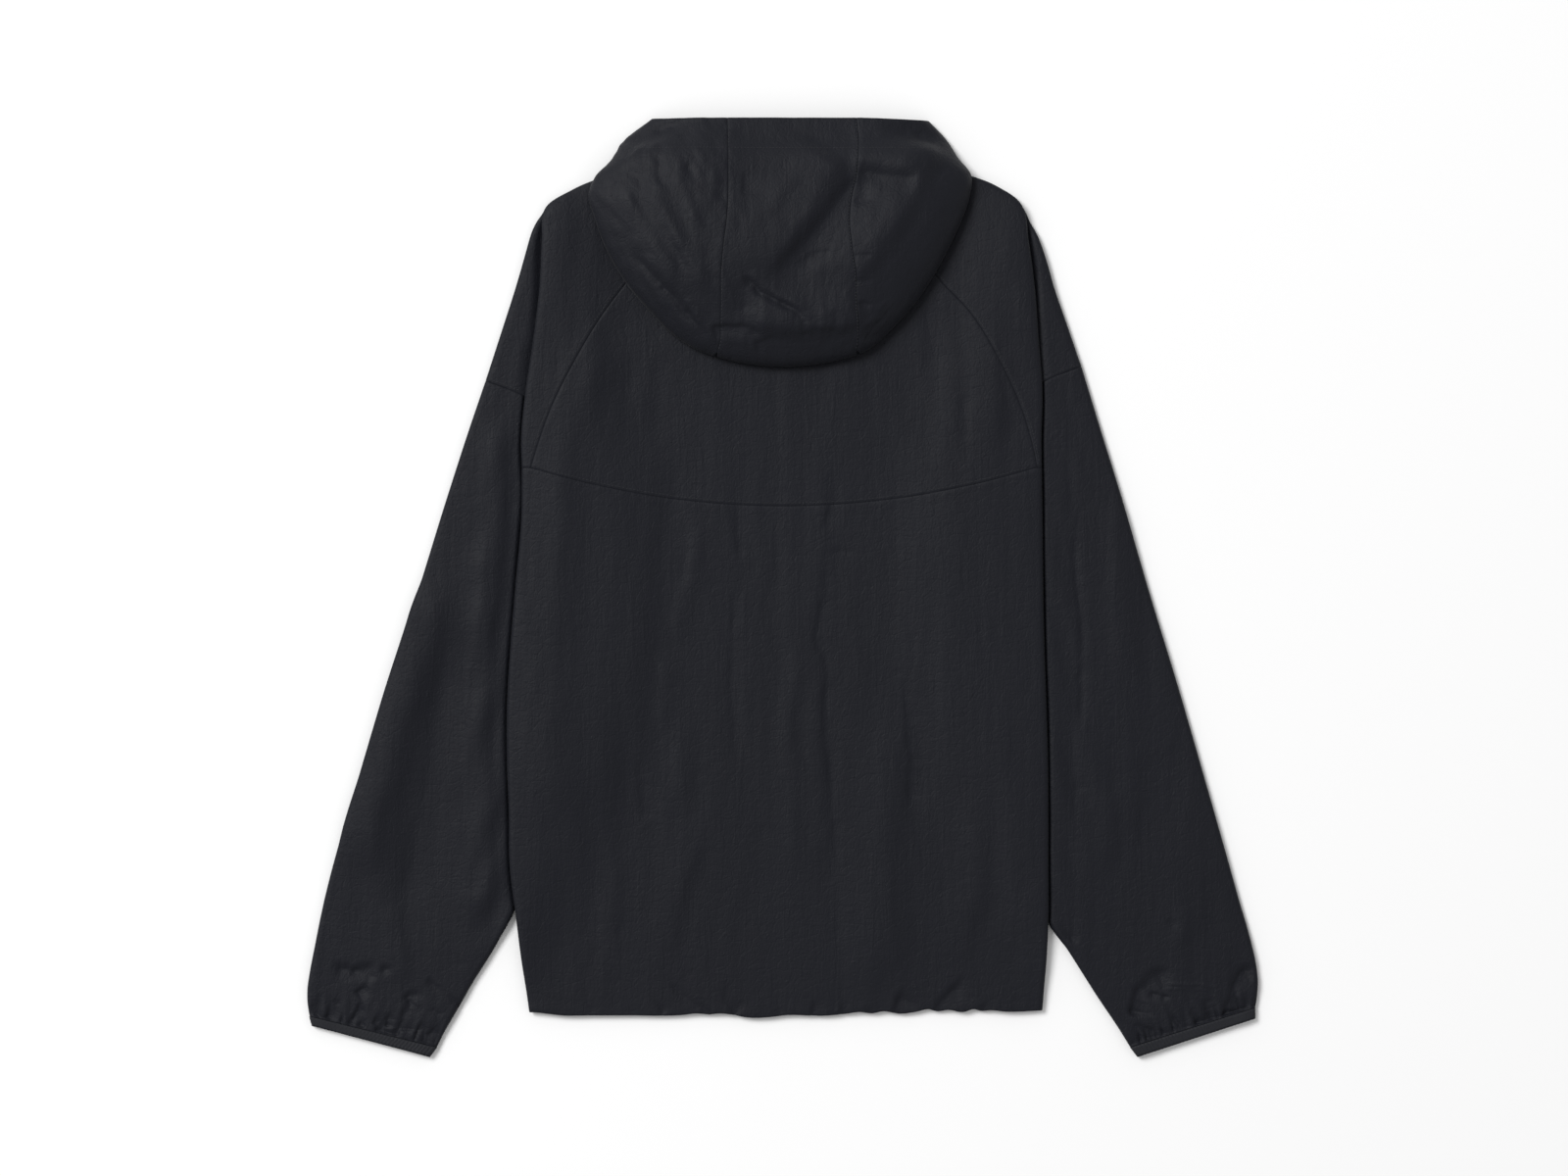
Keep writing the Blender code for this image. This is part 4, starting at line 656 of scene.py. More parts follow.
def front_grid(side):
    name = name_of(side)
    start = ZIP_WIDTH / 2 + SEAM
    ends = [(side_fold(side, share) - SIDE_WRAP - SEAM, share, None) for share in BODY_SHARES]
    ends += [(RAGLAN_FRONT.at(name, level) - SEAM, 1, level) for level in RAGLAN_LEVELS]
    rows = []
    for number, (outer, share, level) in enumerate(ends):
        centre_y = HEM_Y + (FRONT_NECK_Y - HEM_Y) * number / (len(ends) - 1)
        x = start + (outer - start) * FRONT_SHARES
        if level is None:
            end_y = body_row_y(side * outer, share, UNDERARM_Y)
            low = hem_y(side * x) - HEM_Y
            y = centre_y + (end_y - centre_y) * FRONT_SHARES + low * (number == 0) * (1 - FRONT_SHARES)
        else:
            power = 1 + (FRONT_NECK_POWER - 1) * (level - UNDERARM_Y) / (NECK_CORNER_Y - UNDERARM_Y)
            end_y = level - 2 * SEAM * (level == UNDERARM_Y)
            y = centre_y + (end_y - centre_y) * (x / outer) ** power
        rows.append(stack(side * x, y, front_z(side * x, y)))
    return np.array(mirrored(rows, side))


def section_y(outer_x, outer_y, inner_x, inner_y, bend, x):
    s = np.clip((outer_x - x) / (outer_x - inner_x), 0, 1)
    drop = outer_y - inner_y
    square = 0.35 * (outer_x - inner_x)
    return outer_y - (1 - bend) * drop * s - bend * (square * s + (drop - square) * s**3)


def outer_edge_x(side, y):
    """The sleeve's outer edge between the apex and the cap seam."""
    cap = SLEEVES[side].rows[0]
    wider = 2.5 * max(side, 0)
    middle = (250, 225.5 + wider), (297, 210.5 + wider / 2), (309, 205.5)
    return Table("y x", (cap[2], cap[1]), *middle, (APEX_Y, 201)).at("x", y)


def tucked_sheet(side, edge, edge_y, edge_z, tuck, tip, tip_y):
    """In under the body to the tuck, and out again as the sleeve's upper sheet to its outer edge."""
    into = np.minimum(UNDER_STEPS[:3], (edge - tuck) * np.array([0.15, 0.4, 0.7]))
    inward = stack(side * (edge - into), edge_y, under_fold(BODY_OVER_SLEEVE, edge_z, into))
    turn = (BODY_OVER_SLEEVE - PRESSED_SLEEVE) / 2
    angles = np.radians([-90, -30, 30, 90])
    tuck_z = (BODY_OVER_SLEEVE + PRESSED_SLEEVE) / 2 - turn * np.sin(angles)
    bend = stack(side * (tuck - turn * np.cos(angles)), edge_y, tuck_z)
    steps = fitted(EDGE_STEPS[:4], 0.2 * (tip - tuck))
    x = np.concatenate([tuck + (tip - tuck) * CAP_SHARES, (tip - steps)[::-1]])
    y = section_y(tip, tip_y, tuck, edge_y, 1, x)
    return np.concatenate([inward, bend, stack(side * x, y, sleeve_z(side, side * x, y, tip - x))])


def shoulder_row(side, level, start, end, edge, edge_y):
    """One section of a raglan shoulder, from the back seam over the upper sheet to the fold.

    From there it goes in under the body and out again as the sleeve, and back along the ground to the front
    seam. Above the apex nothing is tucked, and it goes straight down the fold."""
    name = name_of(side)
    folded = edge_y < APEX_Y
    share = (APEX_Y - edge_y) / (APEX_Y - UNDERARM_Y)
    tip_y = APEX_Y + (SLEEVES[side].rows[0, 2] - APEX_Y) * share if folded else edge_y
    tip = outer_edge_x(side, tip_y) if folded else edge
    tuck = TUCK.at(name, edge_y) if folded else edge
    edge_z = back_base(side * edge, edge_y)
    steps = fitted(EDGE_STEPS, 0.45 * (edge - start))
    x = np.concatenate([np.linspace(start, edge - steps[-1], 4)[:-1], (edge - steps)[::-1]])
    y = level + (edge_y - level) * (x - start) / (edge - start)
    top = stack(side * x, y, back_z(side * x, y))
    if folded:
        middle = tucked_sheet(side, edge, edge_y, edge_z, tuck, tip, tip_y)
        tip_z = middle[-1, 2]
    else:
        tip_z = FLOOR + 0.45 * (edge_z - FLOOR)
        middle = stack(side * edge, edge_y, edge_z + (tip_z - edge_z) * np.linspace(0, 1, 18)[1:])
    steps = fitted(UNDER_STEPS[:3], 0.5 * (tip - end))
    x = np.linspace(tip - steps[-1], end, 9)[1:]
    if folded:
        cap_x = np.concatenate([(tuck + (tip - tuck) * CAP_SHARES)[::-1], [tuck, end]])
        x += (cap_x - x) * ease(share)
    x = np.concatenate([tip - steps, x])
    inward_y = level + (edge_y - level) * np.clip((x - end) / (tuck - end), 0, 1)
    y = np.where(x < tuck, inward_y, section_y(tip, tip_y, tuck, edge_y, 1, x) if folded else edge_y)
    return np.concatenate([top, middle, stack(side * x, y, under_fold(FLOOR, tip_z, tip - x))])


def shoulder_grid(side):
    name = name_of(side)
    rows = []
    for level, edge_y in OVER_SLEEVE_ROWS.rows:
        start, end = RAGLAN_BACK.at(name, level) + SEAM / 2, RAGLAN_FRONT.at(name, level)
        rows.append(shoulder_row(side, level, start, end, BODY_EDGE.at(name, edge_y), edge_y))
    for level, edge_x in SHOULDER_ROWS.rows:
        start, end = RAGLAN_BACK.at(name, level) + SEAM / 2, RAGLAN_FRONT.at(name, level)
        if level > NECK_CORNER_Y:
            start = neck_x(level, BACK_NECK_Y, BACK_NECK_POWER)
            end = neck_x(level, FRONT_NECK_Y, FRONT_NECK_POWER)
        edge_y = max(APEX_Y, SHOULDER_LINE.at(name, edge_x))
        rows.append(shoulder_row(side, level, start, end, edge_x, edge_y))
    return np.array(mirrored(rows, side))


GATHERS = 12             # waves of cloth along the upper side of each cuff
GATHER_HEIGHT, GATHER_DIP, GATHER_LENGTH = 0.21, 0.4, 45.0


def sleeve_row(side, table, row):
    """One section of the sleeve's tube: the upper sheet from the inner fold out, then the lower one back."""
    outer_x, outer_y, inner_x, inner_y, bend = (float(table.at(name, row)) for name in table.names[1:])
    if row == 0:
        outer_x, inner_x = outer_x + 0.5 * SEAM, inner_x + 1.5 * SEAM
        outer_y, inner_y = outer_y - SEAM, inner_y - 3 * SEAM
    if row == 11:
        outer_y, inner_y = outer_y + SEAM, inner_y + SEAM
    width = outer_x - inner_x
    inner = np.linspace(EDGE_STEPS[3], width - EDGE_STEPS[3], 2 * GATHERS + 1)
    top_x = inner_x + np.concatenate([EDGE_STEPS[:3], inner, width - EDGE_STEPS[2::-1]])
    middle_x = width * (1 - CAP_SHARES[::-1])
    low_x = outer_x - np.concatenate([UNDER_STEPS[:3], middle_x, width - UNDER_STEPS[2::-1]])
    caps = np.concatenate([[inner_x], inner_x + width * CAP_SHARES, [outer_x]])
    cap_y = section_y(outer_x, outer_y, inner_x, inner_y, bend, caps)
    top_y, low_y = np.interp(top_x, caps, cap_y), np.interp(low_x, caps, cap_y)
    from_fold = np.minimum(outer_x - top_x, top_x - inner_x)
    z = sleeve_z(side, side * top_x, top_y, from_fold)
    near_cuff = ease(1 - (outer_y - table.rows[-1, 2]) / GATHER_LENGTH)
    wave = np.where(np.arange(len(inner)) % 2, -1.0, 1.0) * GATHER_HEIGHT - GATHER_DIP
    z[3:-3] += wave * near_cuff * ease(from_fold[3:-3] / 8)
    edge_z = np.where(low_x > inner_x + width / 2, z[-1], z[0])
    low_z = under_fold(FLOOR, edge_z, np.minimum(outer_x - low_x, low_x - inner_x))
    return np.concatenate([stack(side * top_x, top_y, z), stack(side * low_x, low_y, low_z)])


def sleeve_grid(side):
    table = SLEEVES[side]
    rows = [sleeve_row(side, table, row) for row in (0, 1, 2, 3, 4, 5, 6, 7, 8, 8.8, 9.4, 10.2, 11)]
    return np.array(mirrored(rows, side)[::-1])


CUFF_LOW, CUFF_HIGH, CUFF_SHELL = 1.0, 5.4, 1.6


def cuff_grid(side):
    table = CUFFS[side]
    radius, middle = (CUFF_HIGH - CUFF_LOW) / 2, (CUFF_HIGH + CUFF_LOW) / 2
    arc = np.radians([-54, -18, 18, 54])
    rows = []
    for row in (0, 0.4, 0.75, 1):
        outer_x, outer_y, inner_x, inner_y = (float(table.at(name, row)) for name in table.names[1:5])
        width = outer_x - inner_x
        flat = np.linspace(radius + 1.5, width - radius - 1.5, 6)
        turn_in, turn_out = radius - radius * np.cos(arc), width - radius + radius * np.cos(arc)
        across = np.concatenate([turn_in, flat, turn_out, flat[::-1]])
        rise = radius * np.sin(arc)
        z = np.concatenate([middle + rise, np.full(6, CUFF_HIGH), middle - rise, np.full(6, CUFF_LOW)])
        y = inner_y + (outer_y - inner_y) * across / width
        rows.append(stack(side * (inner_x + across), y, z))
    return np.array(mirrored(rows, side)[::-1])


def hood_seam_row(left, right, sag, u):
    """A row of the centre panel, from its left seam to its right one and sagging between them."""
    x = -left[0] + HOOD_SEAM / 2 + (left[0] + right[0] - HOOD_SEAM) * u
    return x, left[1] + (right[1] - left[1]) * u - sag * (1 - (2 * u - 1) ** 2)


def hood_centre_grid():
    """Rows: from the neck underneath to the fold at the bottom, and back over the crown to the rim."""
    u = np.linspace(0, 1, 9)
    left, right = HOOD_LEFT.rows, HOOD_RIGHT.rows
    bottom_x, bottom_y = hood_bottom(u)
    fall = RIM_Y - left[-1, 4]
    rows = []
    for a, b in zip(left, right):
        x, y = hood_seam_row(a[1:3], b[1:3], HOOD_SAG * (RIM_Y - a[2]) / fall, u)
        rows.append(stack(x, y, hood_z(x, y)))
    for rise in (1.6, 0.5, 0):
        rows.append(stack(bottom_x, bottom_y + rise, hood_z(bottom_x, bottom_y + rise)))
    for rise in UNDER_STEPS[:3]:
        y = bottom_y + rise
        z = under_fold(hood_under_z(bottom_x, y), hood_edge_z(bottom_x, bottom_y), rise)
        rows.append(stack(bottom_x, y, z))
    for a, b in zip(left[-2:4:-1], right[-2:4:-1]):
        x, y = hood_seam_row(a[5:7], b[5:7], HOOD_SAG * (left[5, 6] - a[6]) / fall, u)
        rows.append(stack(x, y, hood_under_z(x, y)))
    return np.array(rows[::-1])


def hood_side_grid(side):
    """Columns: from the centre panel over the crown to the outline, and back underneath."""
    table = HOODS[side]
    rows = []
    for _, seam_x, seam_y, outer_x, outer_y, under_x, under_y in table.rows:
        seam_x, under_x = seam_x + HOOD_SEAM / 2, under_x + HOOD_SEAM / 2
        length = math.hypot(outer_x - seam_x, outer_y - seam_y)
        steps = fitted(EDGE_STEPS, 0.6 * length) / length
        share = np.concatenate([np.linspace(0, 1 - steps[-1], 6)[:-1], (1 - steps)[::-1]])
        x, y = side * (seam_x + (outer_x - seam_x) * share), seam_y + (outer_y - seam_y) * share
        top = stack(x, y, hood_z(x, y))
        edge_z = hood_edge_z(side * outer_x, outer_y)
        length = math.hypot(outer_x - under_x, outer_y - under_y)
        steps = fitted(UNDER_STEPS, 0.75 * length) / length
        share = np.concatenate([steps, np.linspace(steps[-1], 1, 4)[1:]])
        x, y = side * (outer_x + (under_x - outer_x) * share), outer_y + (under_y - outer_y) * share
        under = stack(x, y, under_fold(hood_under_z(x, y), edge_z, share * length))
        rows.append(np.concatenate([top, under]))
    return np.array(mirrored(rows, side)[::-1])


SLIDER_Y, SLIDER_LENGTH, SLIDER_WIDTH = 382.0, 11.0, 8.4
PULL_LENGTH = 27.0
LIFT_HEIGHT = 4.4        # how far the slider holds the cloth off the ground
LIFT_FADE_Y, LIFT_FADE_X = 22, 20
CHIN_TUCK = 7            # how far the outer edge of a chin piece goes in under the hood's side


def slider_lift(x, y):
    """How far the cloth near the slider stands off the ground, over the slider and its pull tab."""
    low, high = SLIDER_Y - PULL_LENGTH - 3, SLIDER_Y + SLIDER_LENGTH / 2
    away_y = np.maximum(low - np.asarray(y), 0) / LIFT_FADE_Y
    away_y = away_y + np.maximum(np.asarray(y) - high - 1, 0) / LIFT_FADE_Y
    away_x = np.maximum(np.abs(np.asarray(x)) - 2 * SLIDER_WIDTH, 0) / LIFT_FADE_X
    return LIFT_HEIGHT * ease(1 - np.hypot(away_x, away_y))


def chin_grid(side):
    table = HOODS[side]
    start = ZIP_WIDTH / 2 + SEAM
    seam_x = start + (RAGLAN_FRONT.at(name_of(side), NECK_CORNER_Y) - SEAM - start) * FRONT_SHARES
    low_x = np.concatenate([seam_x, [84, 92]])
    low_y = front_neck_y(low_x) + 2 * SEAM
    rim_x, rim_y = table.rows[0, 5] - 2 * SEAM, table.rows[0, 6]
    high_x = start + (rim_x - start) * (low_x - start) / (low_x[-1] - start)
    high_y = RIM_Y + (rim_y - RIM_Y) * high_x / rim_x
    outermost = np.clip((low_x - 76) / 16, 0, 1)
    rows = []
    for share in np.linspace(0, 1, 8):
        tucked = CHIN_TUCK * ease(share / 0.14) * np.clip((0.8 - share) / 0.6, 0, 1) * outermost
        x, y = low_x + (high_x - low_x) * share**2 + tucked, low_y + (high_y - low_y) * share
        rows.append(stack(side * x, y, FLOOR + slider_lift(x, y)))
    return np.array(mirrored(rows, side))


# ---- fine cloth shells on the coarse grids
SEAM_STEPS = (0.45, 0.95, 1.8, 3.0)    # extra samples near a seam, this far from it
CLOSEST = 0.35                         # samples are never closer together than this
COARSER = 1.0


def resample(grid, interval, share, ring):
    """Smooth curves through each row's points, read at shares of the intervals between them."""
    if ring:
        line = np.concatenate([grid[:, -1:], grid, grid[:, :2]], 1)
    else:
        line = np.concatenate([2 * grid[:, :1] - grid[:, 1:2], grid, 2 * grid[:, -1:] - grid[:, -2:-1]], 1)
    chord = np.maximum(np.linalg.norm(np.diff(line, axis=1), axis=2, keepdims=True), 1e-4)
    steps = np.diff(line, axis=1) / chord
    before, after = chord[:, :-1], chord[:, 1:]
    slope = (steps[:, 1:] * before + steps[:, :-1] * after) / (before + after)
    length = chord[:, interval + 1]
    start_slope, end_slope = slope[:, interval] * length, slope[:, interval + 1] * length
    return cubic(line[:, interval + 1], line[:, interval + 2], start_slope, end_slope, share[None, :, None])


def sample_places(lengths, spacing, ring, start_seam, end_seam):
    """Intervals and shares to sample at, about spacing apart and closer near a seam."""
    interval, share = [], []
    last = len(lengths) - 1
    for k, (length, step) in enumerate(zip(lengths, np.broadcast_to(spacing, len(lengths)))):
        count = max(1, round(length / (step * COARSER)))
        places = list(np.arange(count) / count)
        if k == 0 and start_seam:
            places += [d / length for d in SEAM_STEPS if d < 0.9 * length]
        if k == last and end_seam:
            places += [1 - d / length for d in SEAM_STEPS if d < 0.9 * length]
        kept = [0.0]
        for place in sorted(places):
            if (place - kept[-1]) * length > CLOSEST:
                kept.append(place)
        interval += [k] * len(kept)
        share += kept
    if not ring:
        interval.append(last)
        share.append(1.0)
    return np.array(interval), np.array(share)


def refine(grid, across, along, ring=False, seams=""):
    """Fine grid through a coarse one, and the coarse column that each fine one is at.

    across and along are the spacings in a row and from row to row. seams names the open edges that are sewn:
    l and r for the ends of the rows, b and t for the first and the last row."""
    closed = np.concatenate([grid, grid[:, :1]], 1) if ring else grid
    lengths = np.linalg.norm(np.diff(closed, axis=1), axis=2).mean(0)
    columns = sample_places(lengths, across, ring, "l" in seams, "r" in seams)
    grid = resample(grid, *columns, ring)
    lengths = np.linalg.norm(np.diff(grid, axis=0), axis=2).mean(1)
    rows = sample_places(lengths, along, False, "b" in seams, "t" in seams)
    return resample(grid.transpose(1, 0, 2), *rows, False).transpose(1, 0, 2), columns[0] + columns[1]


def grid_normals(grid, ring, reach=0.8):
    """Unit normals. A row's direction is taken over a short length, so that tight folds offset smoothly."""
    count = grid.shape[1]
    line = np.concatenate([grid, grid, grid, grid[:, :1]], 1) if ring else grid
    across = np.empty_like(grid)
    for i, (row, places) in enumerate(zip(line, travelled_along(line, 1))):
        here = places[count : 2 * count] if ring else places
        for k in range(3):
            ahead, behind = (np.interp(here + step, places, row[:, k]) for step in (reach, -reach))
            across[i, :, k] = ahead - behind
    normal = np.cross(across, np.gradient(grid, axis=0))
    return normal / np.linalg.norm(normal, axis=2, keepdims=True)


SEAM_DIP, SEAM_DIP_WIDTH = 0.4, 0.7
ALLOWANCE_RISE, ALLOWANCE_PUCKER = 0.10, 0.16
ALLOWANCE_MIDDLE, ALLOWANCE_WIDTH = 3.6, 3.0


def seam_relief(grid, seams, seed):
    """The dip at a sewn edge and the puckered seam allowance inside it."""
    along_rows, along_columns = travelled_along(grid, 1), travelled_along(grid, 0)
    distances = {
        "l": (along_rows, along_columns),
        "r": (along_rows[:, -1:] - along_rows, along_columns),
        "b": (along_columns, along_rows),
        "t": (along_columns[-1:] - along_columns, along_rows),
    }
    total = np.zeros(grid.shape[:2])
    for number, edge in enumerate(seams):
        distance, along = distances[edge]
        pucker = noise(along / 4.5, distance / 6, seed + number)
        pucker = pucker + 0.7 * noise(along / 9, distance / 9, seed + 40 + number)
        total -= SEAM_DIP * np.exp(-((distance / SEAM_DIP_WIDTH) ** 2))
        allowance = np.exp(-(((distance - ALLOWANCE_MIDDLE) / ALLOWANCE_WIDTH) ** 2))
        total += (ALLOWANCE_RISE + ALLOWANCE_PUCKER * pucker) * allowance
    return total


def closed_shell(name, grid, finish, ring=False, thickness=SHELL):
    """Closed thin sheet around a grid of its middle surface."""
    count, width = grid.shape[:2]
    offset = grid_normals(grid, ring) * thickness / 2
    points = np.concatenate([(grid + offset).reshape(-1, 3), (grid - offset).reshape(-1, 3)])
    points[:, 2] = np.maximum(points[:, 2], 0)
    i, j = np.mgrid[0 : count - 1, 0 : (width if ring else width - 1)]
    a, b = i * width + j, i * width + (j + 1) % width
    upper = np.stack([a, b, b + width, a + width], -1).reshape(-1, 4)
    lower = upper[:, ::-1] + count * width
    rims = []
    for row, turn in ((0, 1), (count - 1, -1)):
        j = np.arange(width if ring else width - 1)
        a, b = row * width + j, row * width + (j + 1) % width
        rims.append(np.stack([b, a, a + count * width, b + count * width], -1)[:, ::turn])
    if not ring:
        for column, turn in ((0, 1), (width - 1, -1)):
            i = np.arange(count - 1)
            a, b = i * width + column, (i + 1) * width + column
            rims.append(np.stack([a, b, b + count * width, a + count * width], -1)[:, ::turn])
    faces = np.concatenate([upper, lower, *rims])
    return add_mesh(name, points, faces.tolist(), finish)


def add_mesh(name, points, faces, finish):
    """Object from points in millimetres, in the tables' frame."""
    mesh = bpy.data.meshes.new(name)
    mesh.from_pydata(((np.asarray(points) - ORIGIN) * MM).tolist(), [], faces)
    mesh.materials.append(finish)
    mesh.shade_smooth()
    obj = bpy.data.objects.new(name, mesh)
    bpy.context.collection.objects.link(obj)
    return obj


def facing(grid, ring):
    """How much of the upper and of the lower side each point is on, from 0 to 1."""
    up = grid_normals(grid, ring)[..., 2]
    return ease((up - 0.1) / 0.5), ease((-up - 0.1) / 0.5)


DEEPEST = 3.7            # a trough in one sheet stays clear of the sheet below it
UNDERSIDE_LIFT = 0.35    # the underside is this much further in than the solid's, and has its own crinkle


def cloth(name, grid, finish, across, along, relief, ring=False, seams="", seed=0, wave=None):
    """Fine shell of one piece.

    relief gives the height of the creases from a point's place and its coarse column, and wave how far the
    point is moved towards the hood."""
    fine, column = refine(grid, across, along, ring, seams)
    if wave:
        fine[..., 1] += wave(fine[..., 0], fine[..., 1])
    above, below = facing(fine, ring)
    height = np.maximum(relief(fine[..., 0], fine[..., 1], column), -DEEPEST) * above
    height -= (UNDERSIDE_LIFT + 0.9 * crinkle(fine[..., 0], fine[..., 1], seed + 60)) * below
    height += seam_relief(fine, seams, seed + 20) * np.maximum(above, 0.3)
    fine = fine + grid_normals(fine, ring) * height[..., None]
    return closed_shell(name, fine, finish, ring)


# ---- materials
def new_material(name, colour, roughness, metallic=0.0):
    """A material, its shader, its node tree and the node that gives the object's own coordinates."""
    made = bpy.data.materials.new(name)
    made.use_nodes = True
    tree = made.node_tree
    shader = tree.nodes["Principled BSDF"]
    shader.inputs["Base Color"].default_value = (*colour, 1.0)
    shader.inputs["Roughness"].default_value = roughness
    shader.inputs["Metallic"].default_value = metallic
    return made, shader, tree, tree.nodes.new("ShaderNodeTexCoord")


def add_node(tree, kind, **values):
    node = tree.nodes.new(kind)
    for name, value in values.items():
        if name in node.inputs:
            node.inputs[name].default_value = value
        else:
            setattr(node, name, value)
    return node


def noise_node(tree, source, scale, stretch, detail, seed):
    """Noise of about this many grains to the metre. A stretch below 1 makes the grains longer that way."""
    mapping = add_node(tree, "ShaderNodeMapping", Scale=stretch, Location=(seed, 2 * seed, 3 * seed))
    tree.links.new(source.outputs["Object"], mapping.inputs["Vector"])
    made = add_node(tree, "ShaderNodeTexNoise", Scale=scale, Detail=detail, Roughness=0.55)
    tree.links.new(mapping.outputs["Vector"], made.inputs["Vector"])
    return made.outputs["Fac"]


def chain_bump(tree, height, distance, strength, before):
    bump = add_node(tree, "ShaderNodeBump", Strength=strength, Distance=distance)
    tree.links.new(height, bump.inputs["Height"])
    if before:
        tree.links.new(before.outputs["Normal"], bump.inputs["Normal"])
    return bump


def add_bumps(tree, shader, *layers):
    """Bumps on top of each other, each with its pattern, its height in metres and its strength."""
    bump = None
    for pattern, distance, strength in layers:
        bump = chain_bump(tree, pattern, distance, strength, bump)
    tree.links.new(bump.outputs["Normal"], shader.inputs["Normal"])


def range_node(tree, value, low, high, new_low, new_high):
    node = tree.nodes.new("ShaderNodeMapRange")
    tree.links.new(value, node.inputs["Value"])
    for name, number in zip(("From Min", "From Max", "To Min", "To Max"), (low, high, new_low, new_high)):
        node.inputs[name].default_value = number
    return node.outputs["Result"]


def vary_roughness(tree, shader, pattern, values, low=0.3, high=0.7):
    """Roughness from the first value where the pattern is low to the second where it is high."""
    tree.links.new(range_node(tree, pattern, low, high, *values), shader.inputs["Roughness"])


def crackle_node(tree, source, scale, width):
    """Thin broken lines between cells of uneven shape, 0 on the lines and 1 away from them."""
    warp = add_node(tree, "ShaderNodeTexNoise", Scale=scale * 0.8, Detail=2)
    tree.links.new(source.outputs["Object"], warp.inputs["Vector"])
    bent = add_node(tree, "ShaderNodeVectorMath", operation="MULTIPLY_ADD")
    tree.links.new(warp.outputs["Color"], bent.inputs[0])
    bent.inputs[1].default_value = (1 / scale,) * 3
    tree.links.new(source.outputs["Object"], bent.inputs[2])
    cells = add_node(tree, "ShaderNodeTexVoronoi", feature="DISTANCE_TO_EDGE", Scale=scale)
    tree.links.new(bent.outputs["Vector"], cells.inputs["Vector"])
    return range_node(tree, cells.outputs["Distance"], 0, width, 0, 1)


NYLON_DARK, NYLON_LIGHT = (0.0045, 0.0051, 0.0086, 1), (0.0059, 0.0067, 0.0109, 1)


def nylon():
    """Thin crinkled nylon: small creases that follow the grain, fine streaks and a soft uneven gloss."""
    made, shader, tree, source = new_material("jacket_nylon", (0.021, 0.022, 0.027), 0.5)
    streaks = noise_node(tree, source, 150, (1, 0.13, 1), 3, 5)
    ticks = noise_node(tree, source, 190, (0.3, 1, 1), 2, 9)
    grain = noise_node(tree, source, 700, (1, 0.6, 1), 2, 13)
    hairlines = range_node(tree, noise_node(tree, source, 220, (1, 0.09, 1), 1, 17), 0.6, 0.68, 0, 1)
    specks = range_node(tree, noise_node(tree, source, 260, (1, 0.8, 1), 2, 19), 0.64, 0.74, 0, 1)
    crackles = crackle_node(tree, source, 105, 0.09)
    add_bumps(
        tree, shader,
        (streaks, 0.0007, 0.5), (ticks, 0.0006, 0.5), (hairlines, 0.00016, 0.5), (specks, 0.0003, 0.6),
        (crackles, 0.00022, 0.45), (grain, 0.0005, 0.6),
    )
    vary_roughness(tree, shader, streaks, (0.575, 0.645))
    tint = add_node(tree, "ShaderNodeMix", data_type="RGBA")
    tree.links.new(noise_node(tree, source, 9, (1, 0.6, 1), 3, 21), tint.inputs["Factor"])
    tint.inputs[6].default_value = NYLON_DARK
    tint.inputs[7].default_value = NYLON_LIGHT
    tree.links.new(tint.outputs[2], shader.inputs["Base Color"])
    shader.inputs["Specular IOR Level"].default_value = 0.195
    shader.inputs["Sheen Weight"].default_value = 0.03
    shader.inputs["Sheen Roughness"].default_value = 0.5
    return made


def knit(name, colour, ribs_to_metre, seed):
    """Knitted or woven narrow goods: elastic binding, zip tape and sewing thread."""
    made, shader, tree, source = new_material(name, colour, 0.7)
    ribs = noise_node(tree, source, ribs_to_metre, (1, 0.3, 1), 2, seed)
    fibres = noise_node(tree, source, 2600, (1, 1, 1), 2, seed + 3)
    add_bumps(tree, shader, (ribs, 0.0004, 0.6), (fibres, 0.0002, 0.5))
    vary_roughness(tree, shader, fibres, (0.62, 0.78))
    shader.inputs["Specular IOR Level"].default_value = 0.35
    return made


def black_metal():
    """Painted metal of the slider and its pull, a little worn."""
    made, shader, tree, source = new_material("zip_black_metal", (0.05, 0.05, 0.053), 0.36, 0.9)
    worn = noise_node(tree, source, 320, (1, 1, 1), 4, 2)
    vary_roughness(tree, shader, worn, (0.28, 0.46), low=0.35)
    add_bumps(tree, shader, (worn, 0.0001, 0.4))
    return made


def teeth_nylon():
    made, shader, tree, source = new_material("zip_nylon_teeth", (0.015, 0.015, 0.017), 0.42)
    vary_roughness(tree, shader, noise_node(tree, source, 700, (1, 1, 1), 2, 5), (0.36, 0.5))
    return made


def plain_floor():
    made, shader, tree, source = new_material("studio_floor", (0.95, 0.95, 0.95), 0.95)
    vary_roughness(tree, shader, noise_node(tree, source, 4, (1, 1, 1), 2, 3), (0.93, 0.97), 0, 1)
    return made


# ---- the pieces of cloth
BODY_SEED, SLEEVE_SEED, HOOD_SEED, FLAT_SEED, RIB_SEED = 100, 200, 300, 400, 500
SHOULDER_COLUMNS, UPPER_COLUMNS = 35, 9  # a shoulder's last coarse column, and the first one under its fold
FOLD_DEPTH, FOLD_SHARPNESS = 2.6, 0.42   # the short folds above the cuffs
ROLL_HEIGHT, ROLL_LENGTH = 0.4, 34
RIB_PITCH, RIB_HEIGHT = 3.1, 0.22


def body_relief(x, y, column):
    return creases_height(BODY_CREASES, x, y) + crinkle(x, y, BODY_SEED)


def above_cuff(side, x, y):
    """Distance from the end of the sleeve."""
    _, outer_x, outer_y, inner_x, inner_y, _ = SLEEVES[side].rows[-1]
    slope = (outer_y - inner_y) / (outer_x - inner_x)
    return (y - (inner_y + slope * (np.abs(x) - inner_x))) / math.hypot(1, slope)


